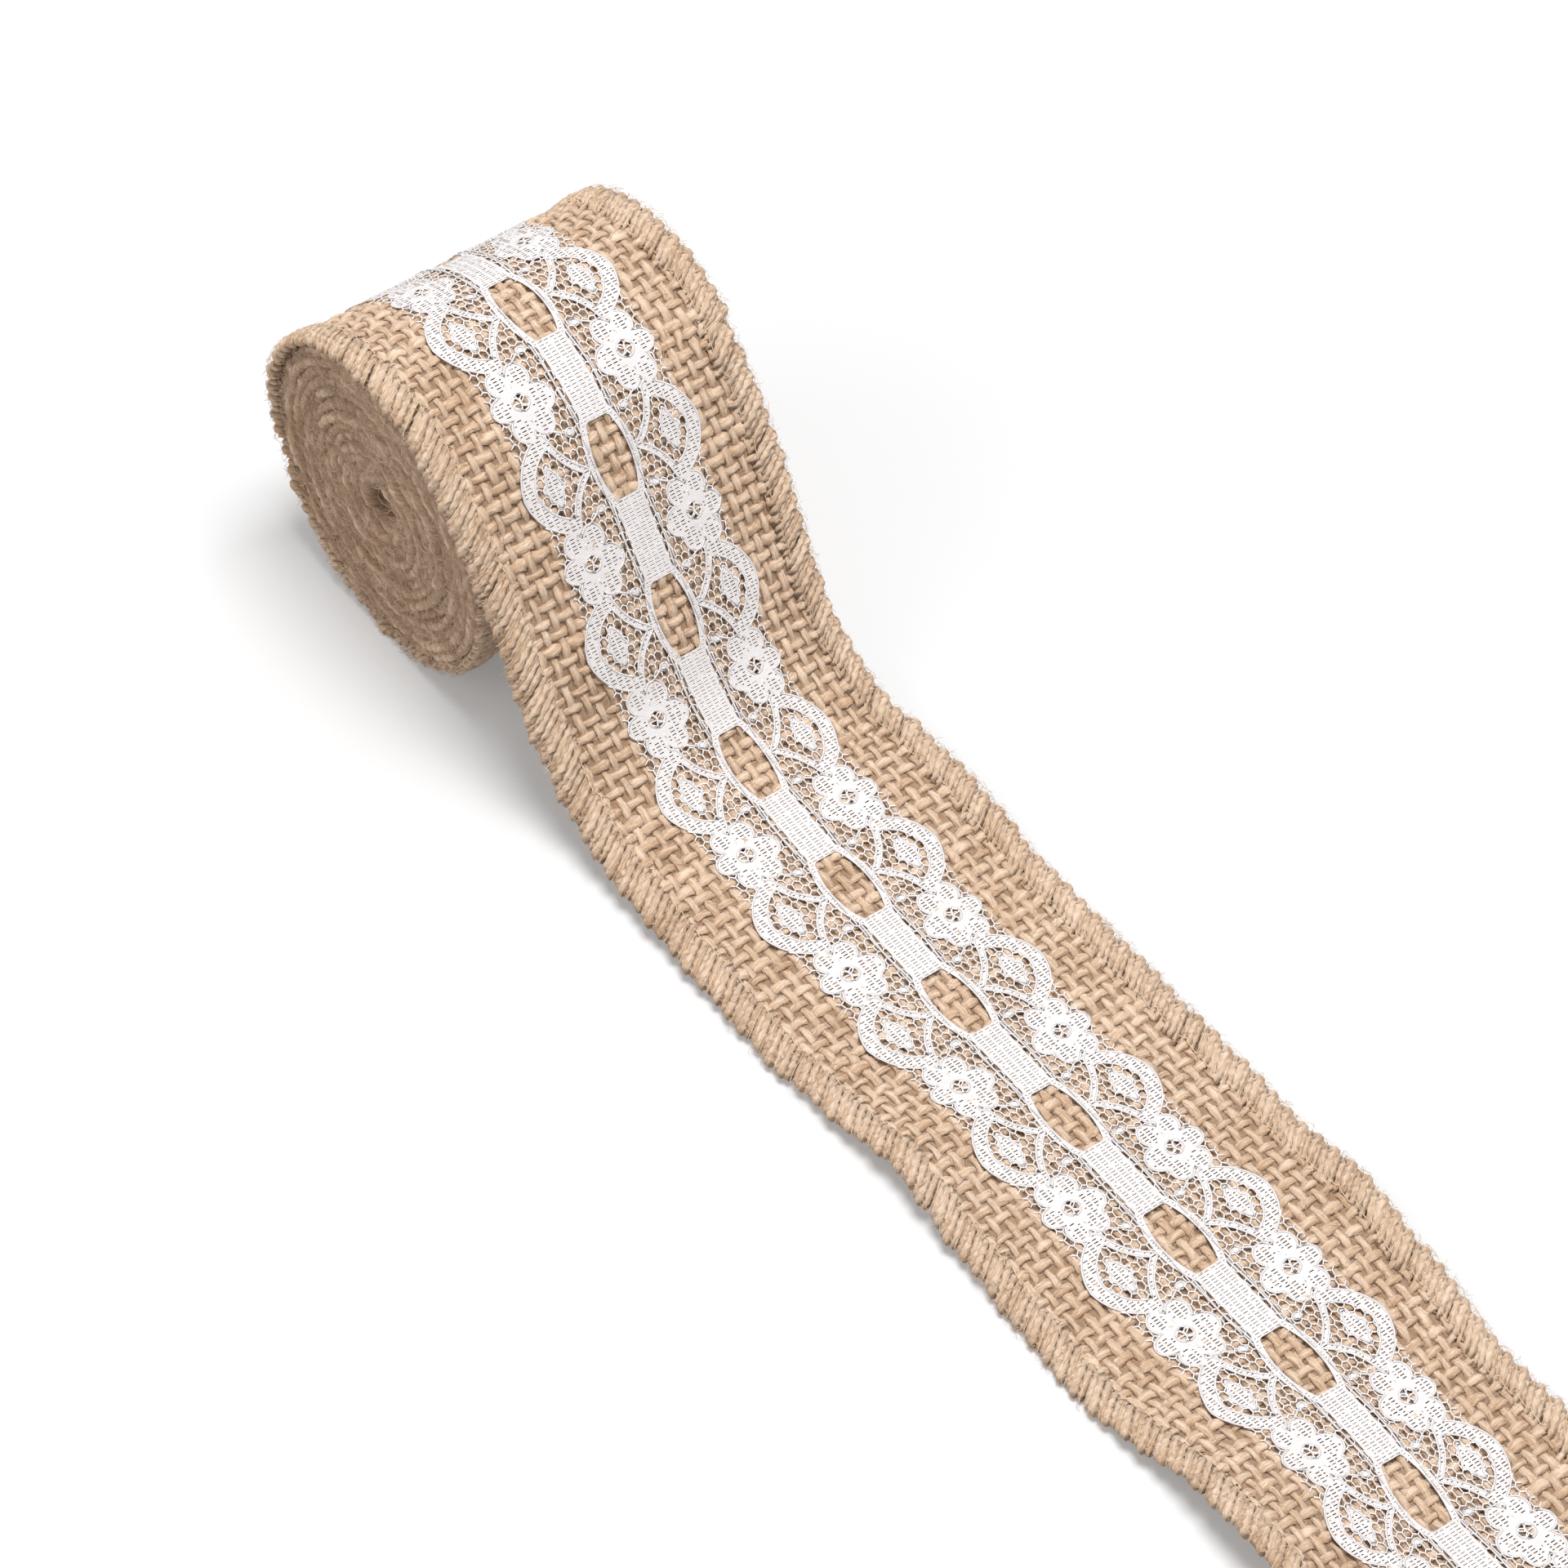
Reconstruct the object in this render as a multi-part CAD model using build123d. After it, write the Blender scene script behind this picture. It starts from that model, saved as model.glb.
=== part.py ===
from build123d import *
import math
import os

# Table runner ribbon: one long jute strip with overlocked edges and a lace band
# sewn down its middle, wound lace side out into a coreless roll, with the free
# end running off the top of the roll, down to the table and along it.
#
# Frame: X along the unrolled tail, away from the roll. Y across the strip.
# Z up, with the table at Z = 0. The origin is under the middle of the part.
# Every layer is an offset of one path, which is the underside of the cloth.
# Heights above that path point to the lace side: away from the roll's axis
# on the roll, and up on the tail. All sizes are in millimetres.

# ---- driving dimensions -------------------------------------------------------
strip_width = 60.0          # over both overlocked edges
cloth_thickness = 0.95      # woven jute
overlock_width = 5.0        # band of overlock stitches along each edge
overlock_skin = 0.40        # thread that lies on each face of the cloth
overlock_rim = 0.80         # thread beyond the cut edge of the cloth
lace_width = 35.0           # over the tips of the scallops
lace_thickness = 0.35
row_spacing = 7.4           # between the two rows of stitching that hold the lace
thread_width = 0.50
thread_height = 0.15
turn_gap = 0.15             # air between the overlocked edges of two turns

roll_radius = 31.4          # outside of the last turn, over the overlock
eye_radius = 3.0            # smallest radius of the hole that is left in the middle
leave_angle = 36.0          # where the strip leaves the roll, above the horizontal
bend_radius = 36.0          # curve from the steep drop to the table
settle_radius = 500.0       # last, nearly flat curve on to the table
settle_angle = 6.0          # slope that the last curve takes out
tail_reach = 325.0          # from the roll's axis to the cut end of the tail

# ---- sizes that follow ----------------------------------------------------------
turn_pitch = cloth_thickness + 2 * overlock_skin + turn_gap
top_radius = roll_radius - overlock_skin - cloth_thickness
turn_count = int((top_radius - overlock_skin - eye_radius) / turn_pitch)
axis_x = (roll_radius - tail_reach) / 2
axis_z = roll_radius - turn_pitch / 2
half_width = strip_width / 2
cloth_half_width = half_width - overlock_rim


def polar(centre, radius, angle):
    """Point at an angle in degrees round a centre given as (x, z)."""
    turn = math.radians(angle)
    return (centre[0] + radius * math.cos(turn), centre[1] + radius * math.sin(turn))


def arc_run(centre, radius, first, last, outward):
    """One arc of the path. outward is +1 where height adds to the radius."""
    return {"centre": centre, "radius": radius, "first": first, "last": last, "outward": outward}


def line_run(start, end):
    """One straight stretch of the path."""
    return {"start": start, "end": end}


def roll_runs():
    """Half turns about two centres half a pitch apart, from the eye outwards."""
    upper_centre = (axis_x, axis_z)
    lower_centre = (axis_x - turn_pitch / 2, axis_z)
    runs = []
    for turn in range(turn_count):
        radius = top_radius - (turn_count - turn) * turn_pitch
        runs.append(arc_run(upper_centre, radius, 180, 0, 1))
        runs.append(arc_run(lower_centre, radius + turn_pitch / 2, 0, -180, 1))
    runs.append(arc_run(upper_centre, top_radius, 180, leave_angle, 1))
    return runs


def tail_runs():
    """Steep straight drop, the bend, the slow settling curve and the flat tail."""
    slope = 90 - leave_angle
    leave = polar((axis_x, axis_z), top_radius, leave_angle)
    drop = leave[1] - overlock_skin
    settle_drop = settle_radius * (1 - math.cos(math.radians(settle_angle)))
    bend_drop = bend_radius * (math.cos(math.radians(settle_angle)) - math.cos(math.radians(slope)))
    steep = (drop - settle_drop - bend_drop) / math.sin(math.radians(slope))
    foot = polar(leave, steep, -slope)
    bend_centre = polar(foot, bend_radius, 90 - slope)
    bend_end = polar(bend_centre, bend_radius, -90 - settle_angle)
    settle_centre = polar(bend_end, settle_radius, 90 - settle_angle)
    landing = (settle_centre[0], overlock_skin)
    cut_end = (axis_x + tail_reach, overlock_skin)
    return [
        line_run(leave, foot),
        arc_run(bend_centre, bend_radius, -90 - slope, -90 - settle_angle, -1),
        arc_run(settle_centre, settle_radius, -90 - settle_angle, -90, -1),
        line_run(landing, cut_end),
    ]


def shifted_points(run, height):
    """Start, middle and end of a run, moved to the lace side by a height."""
    if "centre" in run:
        radius = run["radius"] + run["outward"] * height
        middle = (run["first"] + run["last"]) / 2
        return [polar(run["centre"], radius, angle) for angle in (run["first"], middle, run["last"])]
    along = (run["end"][0] - run["start"][0], run["end"][1] - run["start"][1])
    length = math.hypot(along[0], along[1])
    side = (-along[1] / length * height, along[0] / length * height)
    start = (run["start"][0] + side[0], run["start"][1] + side[1])
    end = (run["end"][0] + side[0], run["end"][1] + side[1])
    return [start, end]


def run_edge(points):
    """Edge of a shifted run in the plane Y = 0."""
    spots = [(point[0], 0, point[1]) for point in points]
    if len(spots) == 3:
        return ThreePointArc(*spots)
    return Line(*spots)


def path_length(runs):
    """Length of the strip along its underside."""
    total = 0
    for run in runs:
        if "centre" in run:
            total += run["radius"] * math.radians(abs(run["last"] - run["first"]))
        else:
            total += math.dist(run["start"], run["end"])
    return total


def layer(low, high, left, right):
    """Solid layer of the strip between two heights, from Y = left to Y = right."""
    under = [shifted_points(run, low) for run in path]
    over = [shifted_points(run, high) for run in path]
    edges = [run_edge(points) for points in under]
    edges.append(run_edge([under[-1][-1], over[-1][-1]]))
    edges += [run_edge(points) for points in over]
    edges.append(run_edge([under[0][0], over[0][0]]))
    outline = Wire(edges)
    return Pos(0, left, 0) * extrude(Face(outline), amount=right - left, dir=(0, 1, 0))


def jute_cloth():
    """The woven strip, up to its cut edges."""
    return layer(0, cloth_thickness, -cloth_half_width, cloth_half_width)


def edge_overlock(side):
    """Sleeve of thread round one cut edge of the cloth. side is -1 or +1."""
    inner = half_width - overlock_width
    band = sorted([side * inner, side * half_width])
    core = sorted([side * inner, side * cloth_half_width])
    sleeve = layer(-overlock_skin, cloth_thickness + overlock_skin, *band)
    return sleeve - layer(0, cloth_thickness, *core)


def lace_band():
    """The lace, flat on the upper face of the cloth."""
    return layer(cloth_thickness, cloth_thickness + lace_thickness, -lace_width / 2, lace_width / 2)


def stitch_thread(side, underside):
    """One thread of a row of stitching: on the lace, or under the cloth."""
    low = -thread_height if underside else cloth_thickness + lace_thickness
    middle = side * row_spacing / 2
    return layer(low, low + thread_height, middle - thread_width / 2, middle + thread_width / 2)


path = roll_runs() + tail_runs()

nodes = {
    "jute_cloth": jute_cloth(),
    "near_edge_overlock": edge_overlock(-1),
    "far_edge_overlock": edge_overlock(1),
    "lace_band": lace_band(),
    "near_row_needle_thread": stitch_thread(-1, False),
    "near_row_bobbin_thread": stitch_thread(-1, True),
    "far_row_needle_thread": stitch_thread(1, False),
    "far_row_bobbin_thread": stitch_thread(1, True),
}

os.makedirs("parts", exist_ok=True)
for name, solid in nodes.items():
    export_step(solid, "parts/" + name + ".step")

print("turns on the roll:", turn_count, "and the last part turn")
print("strip length:", round(path_length(path), 1), "mm")
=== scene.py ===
import math

import bpy
import numpy as np
from bpy.props import FloatProperty, FloatVectorProperty, IntProperty, PointerProperty
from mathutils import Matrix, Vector


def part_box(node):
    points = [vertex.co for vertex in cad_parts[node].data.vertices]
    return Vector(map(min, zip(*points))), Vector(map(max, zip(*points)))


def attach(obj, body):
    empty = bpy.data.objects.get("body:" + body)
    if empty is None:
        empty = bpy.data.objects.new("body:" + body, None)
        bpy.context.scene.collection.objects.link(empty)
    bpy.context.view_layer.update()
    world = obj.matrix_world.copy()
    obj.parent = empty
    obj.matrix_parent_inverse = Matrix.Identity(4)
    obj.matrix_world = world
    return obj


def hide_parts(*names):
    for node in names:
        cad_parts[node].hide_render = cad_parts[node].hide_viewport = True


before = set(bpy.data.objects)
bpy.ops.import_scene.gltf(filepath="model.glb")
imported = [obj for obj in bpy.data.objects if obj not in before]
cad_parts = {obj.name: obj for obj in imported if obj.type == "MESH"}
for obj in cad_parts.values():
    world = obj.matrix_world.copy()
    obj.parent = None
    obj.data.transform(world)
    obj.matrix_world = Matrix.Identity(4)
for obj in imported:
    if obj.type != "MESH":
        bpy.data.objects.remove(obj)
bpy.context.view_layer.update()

bl_info = {
    "name": "Jute runner strip with lace",
    "version": (1, 0, 0),
    "blender": (4, 5, 0),
    "location": "3D View > Sidebar > Runner",
    "description": "Weaves, edges and trims a rolled jute table runner strip along its packed frame",
    "category": "Object",
}

MM = 0.001
BODY = "root"
SEED = 20

# ---- sizes read from the frame ------------------------------------------------
near_low, near_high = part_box("near_edge_overlock")
far_low, far_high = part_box("far_edge_overlock")
cloth_low, cloth_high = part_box("jute_cloth")
lace_low, lace_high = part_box("lace_band")
needle_low, needle_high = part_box("near_row_needle_thread")
bobbin_low, bobbin_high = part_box("near_row_bobbin_thread")

STRIP_WIDTH = far_high.y - near_low.y
HALF_WIDTH = STRIP_WIDTH / 2
OVERLOCK_WIDTH = near_high.y - near_low.y
OVERLOCK_SKIN = cloth_low.z - near_low.z
CLOTH_THICKNESS = cloth_high.z - bobbin_high.z
LACE_THICKNESS = cloth_low.z - lace_low.z
LACE_HALF_WIDTH = lace_high.y
ROW_Y = -(needle_low.y + needle_high.y) / 2
FULL_THICKNESS = CLOTH_THICKNESS + 2 * OVERLOCK_SKIN
TURN_GAP = 0.15 * MM
TURN_PITCH = FULL_THICKNESS + TURN_GAP
ROLL_RADIUS = (near_high.z + TURN_PITCH / 2) / 2
AXIS = np.array([near_low.x + ROLL_RADIUS, ROLL_RADIUS - TURN_PITCH / 2])
END_X = near_high.x

# ---- the way the strip runs ----------------------------------------------------
TURNS = 14
LEAVE_ANGLE = 36.0
BEND_RADIUS = 36.0 * MM
SETTLE_RADIUS = 500.0 * MM
SETTLE_ANGLE = 6.0
GUIDE_STEP = 0.5 * MM
TOP_RADIUS = ROLL_RADIUS - OVERLOCK_SKIN - CLOTH_THICKNESS

# How each edge of the tail lies, by distance from the roll's axis, all in mm:
# distance, lift off the table, shift towards the middle of the strip.
NEAR_EDGE_LIE = [
    (30, 0, -0.4), (47, 0, -1.0), (75, 0, -1.1), (110, 0.3, -1.1), (125, 1.4, -0.2), (140, 3.6, 1.2),
    (161, 1.2, 0.4), (175, 0, -0.5), (191, 0, -0.8), (203, 2.0, 0.7), (215, 5.0, 1.7), (226, 6.6, 1.6),
    (245, 5.6, 1.0), (270, 2.6, 0.4), (300, 0.6, 0), (326, 0.2, 0),
]
FAR_EDGE_LIE = [
    (30, 0, 1.0), (50, 0, 3.0), (65, 0, 2.4), (72, 0.2, 0.8), (84, 0.4, 0), (107, 0, 1.0), (131, 0, 0.4),
    (167, 0, 0), (185, 1.7, -0.5), (203, 0.6, 0.3), (221, 0, 2.4), (245, 0, 1.6), (270, 0.8, 0.4),
    (326, 0.3, 0),
]
MIDDLE_LIE = [
    (100, 0, 0), (185, 0.5, 0), (221, 1.2, 0), (240, 1.0, -1.6), (262, 0.8, -1.2), (300, 0.3, 0), (326, 0, 0),
]


# How unevenly the roll is wound: samples of the guide between free values, and how far they drift.
UNEVEN_WINDING = [(170, 0.5 * MM), (40, 0.3 * MM), (14, 0.2 * MM)]
# Inner turns lie back from the edges, and the first of them are drawn in further round the eye.
RECESS = 1.1 * MM
EYE_RECESS = 3.0 * MM
EYE_RECESS_LENGTH = 14 * MM


class StripPath:
    """The underside of the cloth, from the roll's eye to the cut end of the tail."""

    def __init__(self):
        self.runs = self._roll() + self._tail()
        lengths = [run["length"] for run in self.runs]
        self.starts = np.concatenate([[0], np.cumsum(lengths)])
        self.length = self.starts[-1]
        self.leave = self.starts[2 * TURNS + 1]
        self.landing = self.starts[-2]

    @staticmethod
    def _arc(centre, radius, first, last):
        length = radius * math.radians(abs(last - first))
        return {"centre": centre, "radius": radius, "first": first, "last": last, "length": length}

    def _roll(self):
        runs = []
        lower = AXIS - np.array([TURN_PITCH / 2, 0])
        for turn in range(TURNS):
            radius = TOP_RADIUS - (TURNS - turn) * TURN_PITCH
            runs.append(self._arc(AXIS, radius, 180, 0))
            runs.append(self._arc(lower, radius + TURN_PITCH / 2, 0, -180))
        runs.append(self._arc(AXIS, TOP_RADIUS, 180, LEAVE_ANGLE))
        return runs

    def _tail(self):
        slope = math.radians(90 - LEAVE_ANGLE)
        settle = math.radians(SETTLE_ANGLE)
        out = np.array([math.cos(math.radians(LEAVE_ANGLE)), math.sin(math.radians(LEAVE_ANGLE))])
        leave = AXIS + TOP_RADIUS * out
        bend_drop = BEND_RADIUS * (math.cos(settle) - math.cos(slope))
        settle_drop = SETTLE_RADIUS * (1 - math.cos(settle))
        steep = (leave[1] - OVERLOCK_SKIN - bend_drop - settle_drop) / math.sin(slope)
        foot = leave + steep * np.array([math.cos(slope), -math.sin(slope)])
        bend_centre = foot + BEND_RADIUS * np.array([math.sin(slope), math.cos(slope)])
        bend_end = bend_centre - BEND_RADIUS * np.array([math.sin(settle), math.cos(settle)])
        settle_centre = bend_end + SETTLE_RADIUS * np.array([math.sin(settle), math.cos(settle)])
        landing = np.array([settle_centre[0], OVERLOCK_SKIN])
        flat = END_X - landing[0]
        return [
            {"start": leave, "heading": -slope, "length": steep},
            self._arc(bend_centre, BEND_RADIUS, -180 + LEAVE_ANGLE, -90 - SETTLE_ANGLE),
            self._arc(settle_centre, SETTLE_RADIUS, -90 - SETTLE_ANGLE, -90),
            {"start": landing, "heading": 0.0, "length": flat},
        ]

    def at(self, s):
        """Places (x, z) and unit upward directions at distances s along the strip."""
        s = np.asarray(s, float)
        place, up = np.zeros((len(s), 2)), np.zeros((len(s), 2))
        which = np.clip(np.searchsorted(self.starts, s, side="right") - 1, 0, len(self.runs) - 1)
        for number, run in enumerate(self.runs):
            here = which == number
            done = s[here] - self.starts[number]
            if "centre" in run:
                sign = 1 if run["last"] > run["first"] else -1
                angle = np.radians(run["first"]) + sign * done / run["radius"]
                ray = np.stack([np.cos(angle), np.sin(angle)], 1)
                place[here] = run["centre"] + run["radius"] * ray
                up[here] = -sign * ray
            else:
                heading = np.array([math.cos(run["heading"]), math.sin(run["heading"])])
                place[here] = run["start"] + done[:, None] * heading
                up[here] = [-heading[1], heading[0]]
        return place, up

    def distance_at(self, reach):
        """Distance along the strip of a point on the flat tail, by reach from the roll's axis."""
        return self.landing + (AXIS[0] + reach - (END_X - self.runs[-1]["length"]))


path = StripPath()
VISIBLE_FROM = path.leave - 1.03 * 2 * math.pi * TOP_RADIUS
VISIBLE_LENGTH = path.length - VISIBLE_FROM


# ---- small helpers for lines and meshes -----------------------------------------
def wander(rng, lines, samples, stride, size):
    """Smooth random drift for several lines, with one free value every stride samples."""
    knots = int(math.ceil(samples / stride)) + 3
    values = rng.uniform(-1, 1, (lines, knots))
    at = np.arange(samples) / stride
    low = at.astype(int)
    part = at - low
    part = part * part * (3 - 2 * part)
    return size * (values[:, low] * (1 - part) + values[:, low + 1] * part)


def smooth_lie(table, reach):
    """Lift and shift from a table of given points, blended smoothly."""
    knots = np.array(table, float)
    low = np.clip(np.searchsorted(knots[:, 0], reach, side="right") - 1, 0, len(knots) - 2)
    part = np.clip((reach - knots[low, 0]) / (knots[low + 1, 0] - knots[low, 0]), 0, 1)
    part = (part * part * (3 - 2 * part))[:, None]
    return (knots[low, 1:] * (1 - part) + knots[low + 1, 1:] * part) * MM


def unit(vectors):
    return vectors / np.maximum(np.linalg.norm(vectors, axis=-1, keepdims=True), 1e-12)


class Shape:
    """Vertices, faces, face-corner UVs and one tint per vertex, gathered from several parts.
    The mesh also keeps each vertex's flat height as "rise", 0 at the underside and 1 at the top; the fibre
    colours paint shade on low parts and light on high parts by it."""

    def __init__(self):
        self.co, self.loops, self.sizes, self.uv, self.tint = [], [], [], [], []
        self.count = 0

    def add(self, co, faces, uv, tint):
        """faces is rows of equal length, uv is one pair for each face corner."""
        self.co.append(np.asarray(co, float).reshape(-1, 3))
        faces = np.asarray(faces, int)
        self.loops.append((faces + self.count).ravel())
        self.sizes.append(np.full(len(faces), faces.shape[1]))
        self.uv.append(np.asarray(uv, float).reshape(-1, 2))
        self.tint.append(np.broadcast_to(tint, len(self.co[-1])))
        self.count += len(self.co[-1])

    def mesh(self, name, smooth=True):
        co, loops = np.concatenate(self.co), np.concatenate(self.loops)
        sizes, uv = np.concatenate(self.sizes), np.concatenate(self.uv)
        mesh = bpy.data.meshes.new(name)
        mesh.vertices.add(len(co))
        mesh.vertices.foreach_set("co", co.ravel().astype(np.float32))
        mesh.loops.add(len(loops))
        mesh.loops.foreach_set("vertex_index", loops.astype(np.int32))
        mesh.polygons.add(len(sizes))
        starts = np.concatenate([[0], np.cumsum(sizes)[:-1]])
        mesh.polygons.foreach_set("loop_start", starts.astype(np.int32))
        mesh.polygons.foreach_set("use_smooth", np.full(len(sizes), smooth))
        layer = mesh.uv_layers.new(name="run")
        layer.data.foreach_set("uv", uv.ravel().astype(np.float32))
        tint = mesh.attributes.new("tint", "FLOAT", "POINT")
        tint.data.foreach_set("value", np.concatenate(self.tint).astype(np.float32))
        # Flat height, which the fibre colours use for painted shade and painted light.
        rise = mesh.attributes.new("rise", "FLOAT", "POINT")
        rise.data.foreach_set("value", (co[:, 2] / FULL_THICKNESS).astype(np.float32))
        mesh.update(calc_edges=True)
        mesh.validate()
        return mesh


def tubes(shape, centre, wide, thick, across, sides=6, twist=0.0, lobes=0.0, tint=0.5):
    """Adds closed tubes. centre is lines x points x 3 (along, across, height); wide and thick are
    half sizes; across is the direction that the width points to; twist is in turns per metre."""
    lines, points, _ = centre.shape
    along = unit(np.gradient(centre, axis=1))
    across = np.broadcast_to(np.asarray(across, float), centre.shape)
    across = unit(across - (across * along).sum(-1, keepdims=True) * along)
    up = np.cross(along, across)
    wide = np.broadcast_to(wide, (lines, points))
    thick = np.broadcast_to(thick, (lines, points))
    steps = np.linalg.norm(np.diff(centre, axis=1), axis=-1)
    run = np.concatenate([np.zeros((lines, 1)), np.cumsum(steps, axis=1)], 1)
    corner = np.arange(sides) / sides * 2 * math.pi
    angle = corner[None, None, :] + 2 * math.pi * twist * run[:, :, None]
    swell = 1 + lobes * np.cos(corner * (sides / 2 if sides % 2 == 0 else 1))
    co = (
        centre[:, :, None, :]
        + across[:, :, None, :] * (wide[:, :, None] * swell * np.cos(angle))[..., None]
        + up[:, :, None, :] * (thick[:, :, None] * swell * np.sin(angle))[..., None]
    )
    index = np.arange(lines * points * sides).reshape(lines, points, sides)
    ahead = np.roll(index, -1, axis=2)
    faces = np.stack([index[:, :-1], ahead[:, :-1], ahead[:, 1:], index[:, 1:]], -1).reshape(-1, 4)
    u0 = np.broadcast_to(run[:, :-1, None], (lines, points - 1, sides)) / MM
    u1 = np.broadcast_to(run[:, 1:, None], (lines, points - 1, sides)) / MM
    v0 = np.broadcast_to(np.arange(sides) / sides, u0.shape)
    v1 = v0 + 1 / sides
    uv = np.stack([np.stack(pair, -1) for pair in ((u0, v0), (u0, v1), (u1, v1), (u1, v0))], 3)
    tint = np.broadcast_to(np.asarray(tint, float).reshape(-1, 1, 1), (lines, points, sides)).ravel()
    shape.add(co, faces, uv, tint)
    base = shape.count - lines * points * sides
    fan = np.arange(1, sides - 1)
    first = index[:, 0] + base
    last = index[:, -1] + base
    caps = []
    for ring, order in ((first, (0, 2, 1)), (last, (0, 1, 2))):
        hub = np.broadcast_to(ring[:, :1], (lines, sides - 2))
        trio = np.stack([hub, ring[:, fan], ring[:, fan + 1]], -1)
        caps.append(trio[..., list(order)].reshape(-1, 3))
    caps = np.concatenate(caps)
    shape.loops.append(caps.ravel())
    shape.sizes.append(np.full(len(caps), 3))
    shape.uv.append(np.zeros((caps.size, 2)))


# ---- node trees -------------------------------------------------------------------
class Tree:
    """A node tree that is written as short steps. Values may be sockets or plain numbers."""

    def __init__(self, tree):
        self.tree = tree

    def node(self, kind, **settings):
        node = self.tree.nodes.new(kind)
        for name, value in settings.items():
            setattr(node, name, value)
        return node

    def put(self, socket, value):
        if isinstance(value, bpy.types.NodeSocket):
            self.tree.links.new(value, socket)
        elif value is not None:
            socket.default_value = value

    def step(self, kind, inputs=(), out=0, **settings):
        """Adds a node, fills its inputs by name or number, and returns one output."""
        node = self.node(kind, **settings)
        for name, value in dict(inputs).items():
            open_sockets = [s for s in node.inputs if s.enabled]
            self.put(self.pick(open_sockets, name), value)
        return self.pick([s for s in node.outputs if s.enabled], out)

    @staticmethod
    def pick(sockets, name):
        """A socket by number or by name."""
        return sockets[name] if isinstance(name, int) else next(s for s in sockets if s.name == name)

    def noise(self, place, scale, detail=3.0, roughness=0.5):
        inputs = {"Vector": place, "Scale": scale, "Detail": detail, "Roughness": roughness}
        return self.step("ShaderNodeTexNoise", inputs, out="Fac")

    def mix(self, factor, low, high):
        """A colour between two others."""
        inputs = {"Factor": factor, "A": (*low, 1), "B": (*high, 1)}
        return self.step("ShaderNodeMix", inputs, data_type="RGBA")

    def random(self, kind, low, high, seed):
        """A random value for each point, between two limits."""
        inputs = {"Min": low, "Max": high, "Seed": seed}
        return self.step("FunctionNodeRandomValue", inputs, data_type=kind)

    def store_tint(self, instances, seed):
        """Gives each instance a random value for its colour."""
        shade = self.random("FLOAT", 0.0, 1.0, seed)
        inputs = {"Geometry": instances, "Name": "copy_tint", "Value": shade}
        return self.step("GeometryNodeStoreNamedAttribute", inputs, data_type="FLOAT", domain="INSTANCE")

    def number(self, operation, *values):
        kind = "ShaderNodeMath"
        return self.step(kind, dict(enumerate(values)), operation=operation)

    def vector(self, operation, *values):
        return self.step("ShaderNodeVectorMath", dict(enumerate(values)), operation=operation)

    def scaled(self, vector, factor):
        return self.step("ShaderNodeVectorMath", {"Vector": vector, "Scale": factor}, operation="SCALE")


def geometry_tree(name, sockets):
    """New Geometry Nodes tree with a geometry in and out, and these named inputs."""
    tree = bpy.data.node_groups.new(name, "GeometryNodeTree")
    tree.interface.new_socket("Geometry", in_out="INPUT", socket_type="NodeSocketGeometry")
    for label, kind in sockets:
        tree.interface.new_socket(label, in_out="INPUT", socket_type="NodeSocket" + kind)
    tree.interface.new_socket("Geometry", in_out="OUTPUT", socket_type="NodeSocketGeometry")
    steps = Tree(tree)
    entry = steps.node("NodeGroupInput")
    return steps, {s.name: s for s in entry.outputs if s.name}


def close_tree(steps, geometry, material):
    """Ends a tree in Realize Instances and Set Material."""
    solid = steps.step("GeometryNodeRealizeInstances", {"Geometry": geometry})
    done = steps.step("GeometryNodeSetMaterial", {"Geometry": solid, "Material": material})
    leave = steps.node("NodeGroupOutput")
    steps.put(leave.inputs[0], done)
    return steps.tree


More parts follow.
